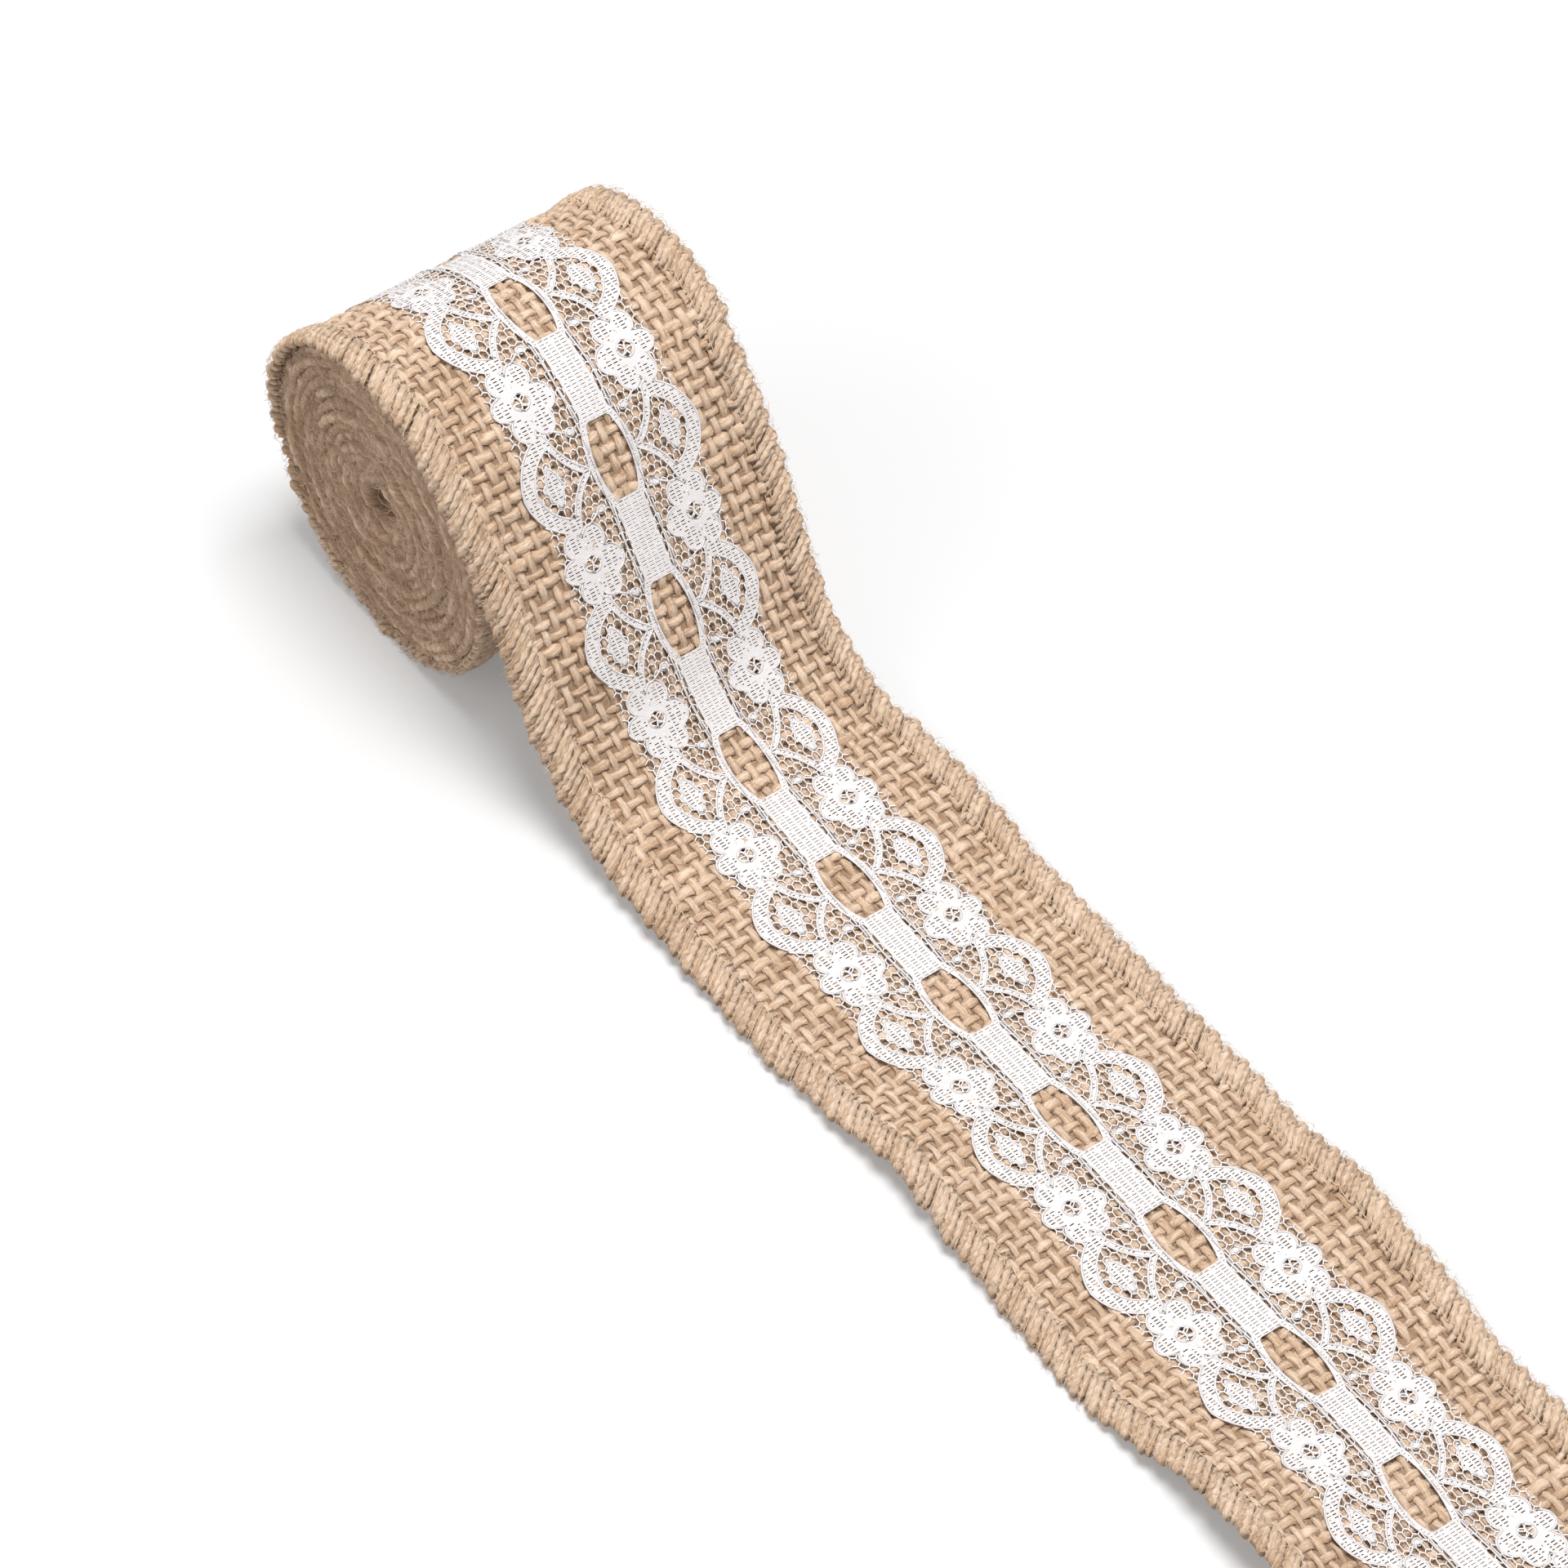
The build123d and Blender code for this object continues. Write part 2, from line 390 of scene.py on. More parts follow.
def lay_tree():
    """Repeats a flat piece along the strip, then bends it on to the strip's guide."""
    steps, given = geometry_tree(
        "lay_on_strip",
        [("Guide", "Object"), ("Guide Step", "Float"), ("Half Width", "Float"), ("Start", "Float"),
         ("Copies", "Int"), ("Pitch", "Float"), ("Scatter", "Vector"), ("Size Spread", "Float"),
         ("Seed", "Int"), ("Material", "Material")],
    )
    seed = given["Seed"]
    first = steps.step("ShaderNodeCombineXYZ", {0: given["Start"]})
    offset = steps.step("ShaderNodeCombineXYZ", {0: given["Pitch"]})
    row = steps.step(
        "GeometryNodeMeshLine", {"Count": given["Copies"], "Start Location": first, "Offset": offset})
    nudge = steps.random("FLOAT_VECTOR", (-1, -1, -1), (1, 1, 1), seed)
    nudge = steps.vector("MULTIPLY", nudge, given["Scatter"])
    row = steps.step("GeometryNodeSetPosition", {"Geometry": row, "Offset": nudge})
    grow = steps.random("FLOAT", -1.0, 1.0, seed)
    grow = steps.number("MULTIPLY_ADD", grow, given["Size Spread"], 1.0)
    grow = steps.step("ShaderNodeCombineXYZ", {0: grow, 1: 1.0, 2: grow})
    copies = steps.step(
        "GeometryNodeInstanceOnPoints", {"Points": row, "Instance": given["Geometry"], "Scale": grow})
    copies = steps.store_tint(copies, seed)
    flat = steps.step("GeometryNodeRealizeInstances", {"Geometry": copies})
    guide = steps.step("GeometryNodeObjectInfo", {"Object": given["Guide"]}, out="Geometry")
    flat_place = steps.step("GeometryNodeInputPosition")
    split = steps.node("ShaderNodeSeparateXYZ")
    steps.put(split.inputs[0], flat_place)
    along, across, height = split.outputs
    scaled = steps.number("DIVIDE", along, given["Guide Step"])
    last = float(int(path.length / GUIDE_STEP) - 1)
    low = steps.number("FLOOR", scaled)
    low = steps.number("MINIMUM", steps.number("MAXIMUM", low, 0.0), last)
    part = steps.number("SUBTRACT", scaled, low)
    high = steps.number("ADD", low, 1.0)
    indices = [steps.step("FunctionNodeFloatToInt", {0: end}, rounding_mode="ROUND") for end in (low, high)]
    side = steps.number("DIVIDE", across, given["Half Width"])
    square = steps.number("MULTIPLY", side, side)
    weights = {
        "near": steps.number("MULTIPLY", steps.number("SUBTRACT", square, side), 0.5),
        "middle": steps.number("SUBTRACT", 1.0, square),
        "far": steps.number("MULTIPLY", steps.number("ADD", square, side), 0.5),
    }
    sums = {}
    for kind in ("place", "up"):
        total = None
        for line, weight in weights.items():
            name = {"Name": f"{line}_{kind}"}
            value = steps.step("GeometryNodeInputNamedAttribute", name, data_type="FLOAT_VECTOR")
            ends = [
                steps.step("GeometryNodeSampleIndex", {"Geometry": guide, "Value": value, "Index": index},
                           data_type="FLOAT_VECTOR", domain="POINT")
                for index in indices
            ]
            step_between = steps.vector("SUBTRACT", ends[1], ends[0])
            here = steps.vector("ADD", ends[0], steps.scaled(step_between, part))
            term = steps.scaled(here, weight)
            total = term if total is None else steps.vector("ADD", total, term)
        sums[kind] = total
    lift = steps.scaled(steps.vector("NORMALIZE", sums["up"]), height)
    bent = steps.vector("ADD", sums["place"], lift)
    laid = steps.step("GeometryNodeSetPosition", {"Geometry": flat, "Position": bent})
    return close_tree(steps, laid, given["Material"])


def fuzz_tree():
    """Scatters bent hairs over a flat patch of the strip, at random turns and tilts."""
    steps, given = geometry_tree(
        "scatter_fuzz",
        [("Hair", "Object"), ("Density", "Float"), ("Turn", "Vector"), ("Size Spread", "Float"),
         ("Seed", "Int"), ("Material", "Material")],
    )
    seed = given["Seed"]
    points = steps.step(
        "GeometryNodeDistributePointsOnFaces",
        {"Mesh": given["Geometry"], "Density": given["Density"], "Seed": seed})
    hair = steps.step("GeometryNodeObjectInfo", {"Object": given["Hair"]}, out="Geometry")
    turn = steps.random("FLOAT_VECTOR", steps.scaled(given["Turn"], -1.0), given["Turn"], seed)
    small = steps.number("SUBTRACT", 1.0, given["Size Spread"])
    large = steps.number("ADD", 1.0, given["Size Spread"])
    size = steps.random("FLOAT", small, large, seed)
    hairs = steps.step(
        "GeometryNodeInstanceOnPoints",
        {"Points": points, "Instance": hair, "Rotation": turn, "Scale": size})
    return close_tree(steps, steps.store_tint(hairs, seed), given["Material"])


def apply_tree(source, tree, values):
    """Runs a tree on an object and returns the result as a plain mesh."""
    modifier = source.modifiers.new(tree.name, "NODES")
    modifier.node_group = tree
    for item in tree.interface.items_tree:
        if item.item_type == "SOCKET" and item.in_out == "INPUT" and item.name in values:
            modifier[item.identifier] = values[item.name]
    source.update_tag()
    bpy.context.view_layer.update()
    graph = bpy.context.evaluated_depsgraph_get()
    mesh = bpy.data.meshes.new_from_object(source.evaluated_get(graph))
    source.modifiers.remove(modifier)
    return mesh


def new_object(name, mesh):
    made = bpy.data.objects.new(name, mesh)
    bpy.context.scene.collection.objects.link(made)
    return made


def guide_object():
    """Three lines of the strip, near edge, middle and far edge, which every piece is laid on."""
    if "strip_guide" in bpy.data.objects:
        return bpy.data.objects["strip_guide"]
    rng = np.random.default_rng(SEED)
    s = np.arange(int(path.length / GUIDE_STEP) + 1) * GUIDE_STEP
    place, up = path.at(s)
    reach = (place[:, 0] - AXIS[0]) / MM
    on_tail = s > path.leave - 10 * MM
    turn_back = np.clip((path.leave - s) / (2 * math.pi * TOP_RADIUS), 0, None)
    sunk = RECESS * np.clip(turn_back - 0.45, 0, 1) ** 0.7 + EYE_RECESS * np.exp(-s / EYE_RECESS_LENGTH)
    uneven = sum(wander(rng, 4, len(s), *drift) for drift in UNEVEN_WINDING)
    uneven[:, s > path.leave] *= 0.3
    lines = {}
    for line, side, table, drift in (
            ("near", -1, NEAR_EDGE_LIE, uneven[:2]),
            ("middle", 0, MIDDLE_LIE, uneven[:2] * 0),
            ("far", 1, FAR_EDGE_LIE, uneven[2:])):
        lie = np.where(on_tail[:, None], smooth_lie(table, reach), 0)
        across = side * (HALF_WIDTH - lie[:, 1] - sunk * (side != 0)) + drift[0]
        if side == 0:
            across = lie[:, 1]
        rise = lie[:, 0] + 0.5 * drift[1]
        co = np.stack([place[:, 0] + up[:, 0] * rise, across, place[:, 1] + up[:, 1] * rise], 1)
        lines[line] = co
    width = unit(lines["far"] - lines["near"])
    mesh = bpy.data.meshes.new("strip_guide")
    mesh.vertices.add(len(s))
    for line, co in lines.items():
        slope = unit(np.gradient(co, axis=0))
        normal = unit(np.cross(slope, width))
        for kind, values in (("place", co), ("up", normal)):
            stored = mesh.attributes.new(f"{line}_{kind}", "FLOAT_VECTOR", "POINT")
            stored.data.foreach_set("vector", values.ravel().astype(np.float32))
    guide = new_object("strip_guide", mesh)
    guide.hide_render = True
    return guide


def lay(name, mesh, material, start=0.0, copies=1, pitch=0.0, scatter=(0, 0, 0), spread=0.0, seed=0):
    """Lays a flat mesh on the strip and returns the finished, plain object."""
    tree = bpy.data.node_groups.get("lay_on_strip") or lay_tree()
    flat = new_object(name + "_flat", mesh)
    values = {
        "Guide": guide_object(), "Guide Step": float(GUIDE_STEP), "Half Width": float(HALF_WIDTH),
        "Start": float(start), "Copies": copies, "Pitch": float(pitch), "Scatter": scatter,
        "Size Spread": float(spread), "Seed": seed, "Material": material,
    }
    done = apply_tree(flat, tree, values)
    bpy.data.objects.remove(flat)
    done.name = name
    return new_object(name, done)


def settle(piece, slot, *nodes):
    """Rides a finished piece on the strip's body and hides the frame parts that it stands for."""
    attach(piece, BODY)
    if nodes:
        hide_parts(*nodes)
    return piece


# ---- materials ---------------------------------------------------------------------
def new_material(name, roughness, sheen=0.0):
    material = bpy.data.materials.get(name)
    if material:
        return material, None, None
    material = bpy.data.materials.new(name)
    material.use_nodes = True
    steps = Tree(material.node_tree)
    shader = material.node_tree.nodes["Principled BSDF"]
    shader.inputs["Roughness"].default_value = roughness
    shader.inputs["Specular IOR Level"].default_value = 0.2
    shader.inputs["Sheen Weight"].default_value = sheen
    shader.inputs["Sheen Roughness"].default_value = 0.6
    return material, steps, shader


def fibre_material(name, light, dark, streak_scale=1.2, bump=0.2 * MM, depth=0.6, spread=0.25):
    """Hairy bast yarn: long fine streaks that twist round the yarn, blotches and a tint for each yarn, and
    painted shade low down with painted light on top, by each vertex's flat height.
    """
    material, steps, shader = new_material(name, 0.9, 0.12)
    if steps is None:
        return material
    run = steps.step("ShaderNodeUVMap", uv_map="run")
    split = steps.node("ShaderNodeSeparateXYZ")
    steps.put(split.inputs[0], run)
    tint = steps.step("ShaderNodeAttribute", {}, out="Fac", attribute_name="tint")
    copy_tint = steps.step("ShaderNodeAttribute", {}, out="Fac", attribute_name="copy_tint")
    own = steps.number("FRACT", steps.number("MULTIPLY", steps.number("ADD", tint, copy_tint), 7.31))
    lead = steps.number("MULTIPLY", split.outputs[0], 0.75)
    angle = steps.number("MULTIPLY_ADD", split.outputs[1], 2 * math.pi, lead)
    around = steps.number("MULTIPLY", steps.number("SINE", angle), 2.2)
    around_too = steps.number("MULTIPLY", steps.number("COSINE", angle), 2.2)
    long_way = steps.number("MULTIPLY_ADD", split.outputs[0], 0.3, steps.number("MULTIPLY", own, 37.0))
    place = steps.step("ShaderNodeCombineXYZ", {0: long_way, 1: around, 2: around_too})
    streak = steps.noise(place, streak_scale, 5.0, 0.7)
    spot = steps.step("ShaderNodeTexCoord", out="Object")
    blotch = steps.noise(spot, 140.0)
    fine = steps.noise(spot, 1900.0)
    rise = steps.step("ShaderNodeAttribute", {}, out="Fac", attribute_name="rise")
    mixed = steps.number("MULTIPLY_ADD", streak, 3.6, steps.number("MULTIPLY", blotch, 0.8))
    mixed = steps.number("MULTIPLY_ADD", own, spread, mixed)
    mixed = steps.number("MULTIPLY_ADD", fine, 0.5, mixed)
    # Painted shade and light: the colour darkens towards the underside and lightens towards the top, by the
    # flat height "rise".
    mixed = steps.number("MULTIPLY_ADD", rise, depth, mixed)
    mixed = steps.number("SUBTRACT", mixed, 2.01 + 0.5 * spread + 0.42 * depth)
    steps.put(shader.inputs["Base Color"], steps.mix(mixed, dark, light))
    height = steps.number("MULTIPLY_ADD", fine, 0.35, streak)
    rough = steps.step("ShaderNodeBump", {"Strength": 1.0, "Distance": bump, "Height": height})
    steps.put(shader.inputs["Normal"], rough)
    return material


def thread_material(name, light, shade, rib=0.297):
    """Fine white thread: ribs a little apart, tone that drifts from place to place."""
    material, steps, shader = new_material(name, 0.6, 0.15)
    if steps is None:
        return material
    run = steps.step("ShaderNodeUVMap", uv_map="run")
    split = steps.node("ShaderNodeSeparateXYZ")
    steps.put(split.inputs[0], run)
    spot = steps.step("ShaderNodeTexCoord", out="Object")
    tone = steps.noise(spot, 260.0)
    fine = steps.noise(spot, 2600.0)
    waver = steps.number("MULTIPLY", fine, 3.0)
    turn = steps.number("MULTIPLY_ADD", split.outputs[0], 2 * math.pi / rib, waver)
    # Painted light and shade: each rib's crest takes the lace colour and the groove between ribs the shaded
    # colour; the tone noise varies at random.
    ribs = steps.number("MULTIPLY_ADD", steps.number("SINE", turn), 0.5, 0.5)
    mixed = steps.number("MULTIPLY_ADD", ribs, 0.5, steps.number("MULTIPLY", tone, 0.7))
    mixed = steps.number("ADD", mixed, steps.number("MULTIPLY", fine, 0.3))
    steps.put(shader.inputs["Base Color"], steps.mix(mixed, shade, light))
    height = steps.number("ADD", ribs, fine)
    bump = steps.step("ShaderNodeBump", {"Strength": 0.6, "Distance": 0.07 * MM, "Height": height})
    steps.put(shader.inputs["Normal"], bump)
    return material


def stage_material():
    """Plain pale table with a barely visible mottle."""
    material, steps, shader = new_material("pale_table", 0.8)
    if steps is None:
        return material
    spot = steps.step("ShaderNodeTexCoord", out="Object")
    mottle = steps.noise(spot, 8.0, 2.0)
    steps.put(shader.inputs["Base Color"], steps.mix(mottle, (0.53, 0.53, 0.533), (0.545, 0.545, 0.546)))
    shader.inputs["Emission Color"].default_value = (1.0, 1.0, 1.0, 1)
    shader.inputs["Emission Strength"].default_value = 0.17
    return material


# ---- sizes and colours that a user would change ----------------------------------------
def length_setting(name, description, value):
    return FloatProperty(name=name, description=description, default=value, unit="LENGTH")


def colour_setting(name, description, value):
    return FloatVectorProperty(
        name=name, description=description, default=value, subtype="COLOR", size=3, min=0, max=1)


class RunnerSizes(bpy.types.PropertyGroup):
    warp_pitch: length_setting(
        "Warp pitch", "Across the strip, from one lengthwise yarn to the next", 2.2 * MM)
    weft_pitch: length_setting(
        "Weft pitch", "Along the strip, from one crosswise yarn to the next", 2.6 * MM)
    warp_width: length_setting("Warp width", "Width of a lengthwise yarn", 1.56 * MM)
    weft_width: length_setting("Weft width", "Width of a crosswise yarn", 1.8 * MM)
    yarn_thickness: length_setting("Yarn thickness", "Thickness of a yarn, pressed flat", 0.98 * MM)
    crimp: length_setting("Crimp", "How far a yarn rises and dips at each crossing", 0.36 * MM)
    thread_pitch: length_setting(
        "Overlock stitch", "Along the edge, from one overlock stitch to the next", 3.7 * MM)
    stitch_pitch: length_setting("Lace stitch", "Length of one stitch that holds the lace", 2.8 * MM)
    lace_repeat: length_setting("Lace repeat", "Length of one repeat of the lace", 28.52 * MM)
    lace_height: length_setting(
        "Lace height", "Height of the lace over the underside of the cloth", 1.4 * MM)
    seed: IntProperty(name="Seed", description="Start of every random choice", default=SEED, min=0)


class RunnerColours(bpy.types.PropertyGroup):
    # Jute light and dark give the fibre streaks, and also the painted light on the yarn tops and the painted
    # shade on the low parts.
    jute_light: colour_setting("Jute, light", "Light fibres of the jute", (0.715, 0.555, 0.42))
    jute_dark: colour_setting("Jute, dark", "Dark fibres of the jute", (0.44, 0.272, 0.158))
    # The ground colour is darker than the yarns: matted fibres, and painted shade in the holes between the
    # yarns.
    ground: colour_setting("Jute ground", "Matted fibres between the yarns", (0.42, 0.268, 0.162))
    lace: colour_setting("Lace", "White of the lace and its thread", (0.72, 0.695, 0.69))
    lace_shade: colour_setting(
        "Lace, shaded", "Faint pink grey between the lace's threads", (0.55, 0.50, 0.49))


def jute_material(name="jute_yarn", gain=1.0, **more):
    colours = bpy.context.scene.runner_colours
    light = [min(1, c * gain) for c in colours.jute_light]
    dark = [min(1, c * gain) for c in colours.jute_dark]
    return fibre_material(name, light, dark, **more)


def lace_material(name="lace_thread", gain=1.0):
    colours = bpy.context.scene.runner_colours
    light, shade = ([min(1, c * gain) for c in colour] for colour in (colours.lace, colours.lace_shade))
    return thread_material(name, light, shade)


# ---- the woven cloth ---------------------------------------------------------------------
def weave_grid(sizes):
    """Places of the crossings: warp positions across, and weft positions along the shown strip."""
    inner = HALF_WIDTH - OVERLOCK_WIDTH
    warps = int(2 * inner / sizes.warp_pitch) + 1
    warp_y = (np.arange(warps) - (warps - 1) / 2) * sizes.warp_pitch
    wefts = int(VISIBLE_LENGTH / sizes.weft_pitch)
    weft_s = path.length - (wefts - 1 - np.arange(wefts)) * sizes.weft_pitch - 1.2 * MM
    return warp_y, weft_s


def warp_shape(sizes, first, last, frayed):
    """Lengthwise yarns between two wefts, given by number."""
    rng = np.random.default_rng(sizes.seed + 1)
    warp_y, weft_s = weave_grid(sizes)
    per = 4
    total = (len(weft_s) - 1) * per + 1
    drift = wander(rng, len(warp_y), total, 22, 0.27 * MM)
    size = 1 + wander(rng, len(warp_y), total, 9, 0.2) + wander(rng, len(warp_y), total, 3, 0.12)
    own = rng.uniform(0.82, 1.18, (len(warp_y), 1))
    tint = rng.uniform(0, 1, len(warp_y))
    phase = np.arange(total) / per
    s = np.interp(phase, np.arange(len(weft_s)), weft_s)
    cut = slice(first * per, last * per + 1)
    sign = np.where(np.arange(len(warp_y)) % 2 == 0, 1, -1)[:, None]
    height = CLOTH_THICKNESS / 2 + sign * sizes.crimp * np.cos(math.pi * phase)[None, :]
    centre = np.stack(np.broadcast_arrays(s[None, :], warp_y[:, None] + drift, height), -1)[:, cut]
    if frayed:
        tail = rng.uniform(0.6, 2.6, (len(warp_y), 1)) * MM
        tip = centre[:, -1:].copy()
        tip[..., 0] += tail
        tip[..., 1] += rng.uniform(-0.6, 0.6, (len(warp_y), 1)) * MM
        tip[..., 2] = CLOTH_THICKNESS / 2
        centre = np.concatenate([centre, tip], 1)
    wide = (sizes.warp_width / 2 * size * own)[:, cut]
    if frayed:
        wide = np.concatenate([wide, wide[:, -1:] * 0.55], 1)
    shape = Shape()
    thick = wide * sizes.yarn_thickness / sizes.warp_width
    tubes(shape, centre, wide, thick, (0, 1, 0), 6, 110.0, 0.12, tint)
    return shape


def weft_shape(sizes, first, last):
    """Crosswise yarns by number, out into the overlocked edges."""
    rng = np.random.default_rng(sizes.seed + 2)
    warp_y, weft_s = weave_grid(sizes)
    per = 4
    beyond = 2.0 * MM
    knots = np.concatenate([[warp_y[0] - beyond], warp_y, [warp_y[-1] + beyond]])
    total = (len(knots) - 1) * per + 1
    drift = wander(rng, len(weft_s), total, 26, 0.32 * MM) + wander(rng, len(weft_s), total, 90, 0.35 * MM)
    size = 1 + wander(rng, len(weft_s), total, 9, 0.2) + wander(rng, len(weft_s), total, 3, 0.12)
    own = rng.uniform(0.8, 1.2, (len(weft_s), 1))
    tint = rng.uniform(0, 1, len(weft_s))
    phase = np.arange(total) / per - 1
    y = np.interp(phase, np.arange(len(knots)) - 1, knots)
    sign = np.where(np.arange(len(weft_s)) % 2 == 0, -1, 1)[:, None]
    height = CLOTH_THICKNESS / 2 + sign * sizes.crimp * np.cos(math.pi * phase)[None, :]
    centre = np.stack(np.broadcast_arrays(weft_s[:, None] + drift, y[None, :], height), -1)[first:last]
    wide = (sizes.weft_width / 2 * size * own)[first:last]
    shape = Shape()
    thick = wide * sizes.yarn_thickness / sizes.weft_width
    tubes(shape, centre, wide, thick, (1, 0, 0), 6, 110.0, 0.12, tint[first:last])
    return shape


def slab_shape(start, end, half_width, low, high, step, columns):
    """Closed flat slab of the strip, with rows of quads every step along it."""
    rows = int(math.ceil((end - start) / step)) + 1
    s = np.linspace(start, end, rows)
    y = np.linspace(-half_width, half_width, columns + 1)
    grid_s, grid_y = np.meshgrid(s, y, indexing="ij")
    top = np.stack([grid_s, grid_y, np.full_like(grid_s, high)], -1).reshape(-1, 3)
    under = np.stack([grid_s, grid_y, np.full_like(grid_s, low)], -1).reshape(-1, 3)
    index = np.arange(len(top)).reshape(rows, columns + 1)
    upper = np.stack([index[:-1, :-1], index[1:, :-1], index[1:, 1:], index[:-1, 1:]], -1).reshape(-1, 4)
    lower = upper[:, ::-1] + len(top)
    rim = np.concatenate([index[0, :], index[1:, -1], index[-1, -2::-1], index[-2:0:-1, 0]])
    rim_next = np.roll(rim, -1)
    walls = np.stack([rim, rim_next, rim_next + len(top), rim + len(top)], -1)
    co = np.concatenate([top, under])
    faces = np.concatenate([upper, lower, walls])
    shape = Shape()
    shape.add(co, faces, co[faces.ravel()][:, :2] / MM, 0.5)
    return shape


class RUNNER_OT_cloth(bpy.types.Operator):
    """Weaves the jute cloth: a matted ground, darker than the yarns as painted shade in the holes, the
    lengthwise yarns and the crosswise yarns
    """
    bl_idname = "runner.cloth"
    bl_label = "Jute cloth"

    def execute(self, context):
        sizes, colours = context.scene.runner_sizes, context.scene.runner_colours
        # The ground sheet fills the holes between the yarns with a dark colour: partly matted fibres, partly
        # painted shade.
        light, dark = ([c * gain for c in colours.ground] for gain in (1.2, 0.7))
        felt = fibre_material("jute_ground", light, dark)
        middle, half = CLOTH_THICKNESS * 0.36, 0.12 * MM
        end, side = path.length - 1 * MM, HALF_WIDTH - 1.2 * MM
        flat = slab_shape(0, end, side, middle - half, middle + half, 1.0 * MM, 8)
        ground = lay("jute_ground", flat.mesh("ground"), felt)
        yarn = jute_material()
        _, weft_s = weave_grid(sizes)
        middle_weft = len(weft_s) // 2
        pieces = []
        for name, span in (("roll", (0, middle_weft)), ("tail", (middle_weft, len(weft_s) - 1))):
            warps = warp_shape(sizes, span[0], span[1], name == "tail")
            pieces.append(lay("warp_yarns_" + name, warps.mesh("warps"), yarn))
            wefts = weft_shape(sizes, span[0], span[1] + (name == "tail"))
            pieces.append(lay("weft_yarns_" + name, wefts.mesh("wefts"), yarn))
        settle(ground, "jute", "jute_cloth")
        for piece in pieces:
            settle(piece, "jute")
        return {"FINISHED"}


# ---- the overlocked edges -----------------------------------------------------------------
# One bundle goes from the inner line of the band over the face, round the rim and back under the
# cloth. Each point is (along, from the strip's middle, height) in mm, for the far edge.
BUNDLE_ROUTE = [
    (4.2, 24.0, 0.62), (3.5, 25.0, 1.12), (2.3, 26.5, 1.34), (1.1, 28.0, 1.28), (0.3, 29.1, 0.94),
    (0.0, 29.5, 0.45), (0.4, 29.0, 0.06), (1.6, 27.2, 0.0), (2.8, 25.2, 0.15),
]
BUNDLE_TAPER = [0.62, 0.88, 1.02, 1.08, 1.12, 1.02, 0.85, 0.8, 0.5]
STRANDS = [(-0.25, 0.0, 1.0), (0.3, 0.08, 1.15), (-0.1, -0.05, 0.9)]
THREAD_ROUTE = [
    (3.5, 24.6, 1.35), (2.8, 25.7, 1.62), (1.7, 27.4, 1.74), (0.7, 28.9, 1.5), (0.2, 29.8, 0.95),
    (0.1, 29.9, 0.3),
]
CHAIN_ROUTE = [
    (0.0, 24.9, 1.3), (0.4, 25.3, 1.56), (1.0, 24.9, 1.5), (2.2, 24.8, 1.3), (3.2, 24.6, 1.4),
    (3.9, 24.9, 1.3),
]


def mirrored(centre, side, length):
    """The near edge is the far edge turned half way round, so the yarn ends slant the same way."""
    if side > 0:
        return centre
    return centre * np.array([-1, -1, 1]) + np.array([length, 0, 0])


def edge_bundle(side, pitch, rng):
    """Slanted yarn ends for one overlock stitch: plump strands that bulge between two stitches."""
    route = np.array(BUNDLE_ROUTE) * MM
    points = len(route)
    reach = np.linspace(0.0, 1.0, points) ** 0.5
    lines, widths = [], []
    for number, (bulge, rise, plump) in enumerate(STRANDS):
        line = route.copy()
        line[:, 0] += (number + 0.5) * pitch / len(STRANDS) + rng.uniform(-0.1, 0.1, points) * MM
        line[:, 1] += bulge * MM * reach + rng.uniform(-0.5, 0.3) * MM * (1 - reach)
        line[:, 2] += rise * MM + rng.uniform(-0.06, 0.06, points) * MM
        lines.append(line)
        widths.append(plump * np.array(BUNDLE_TAPER) * rng.uniform(0.9, 1.1, points))
    centre = mirrored(np.array(lines), side, 4.2 * MM + pitch)
    wide = 0.58 * pitch / len(STRANDS) * np.array(widths)
    shape = Shape()
    tubes(shape, centre, wide, 0.7 * wide, (1, 0, 0), 8, 150.0, 0.1, rng.uniform(0, 1, len(STRANDS)))
    return shape


def route_tube(shape, route, side, radius, sides=4):
    """One thread along a given route, mirrored for the near edge."""
    centre = mirrored(np.array(route)[None] * MM, side, 4 * MM)
    tubes(shape, centre, radius, radius, (0.6, 0.1, 0.9), sides, 0.0, 0.0, 0.5)


def felted_rim(side, start, end, rng):
    """The matted edge of the inner turns: one lumpy ridge that closes the gap between turns."""
    step = 0.55 * MM
    rows = int((end - start) / step)
    s = start + np.arange(rows) * step
    lumps = np.abs(np.sin(s / (1.9 * MM) * math.pi + wander(rng, 1, rows, 6, 1.2)))
    drift = wander(rng, 1, rows, 7, 0.3 * MM) + wander(rng, 1, rows, 2, 0.2 * MM) + 0.16 * MM * lumps
    wide = 1.7 * MM + 0.6 * drift
    thick = 0.92 * MM + wander(rng, 1, rows, 3, 0.1 * MM) + 0.08 * MM * lumps
    middle = HALF_WIDTH - 1.9 * MM + drift
    height = 0.52 * MM + wander(rng, 1, rows, 5, 0.16 * MM)
    centre = np.stack([s[None], side * middle, height], -1)
    shape = Shape()
    tubes(shape, centre, wide, thick, (0, 1, 0), 10, 0.0, 0.06, rng.uniform(0, 1))
    return shape


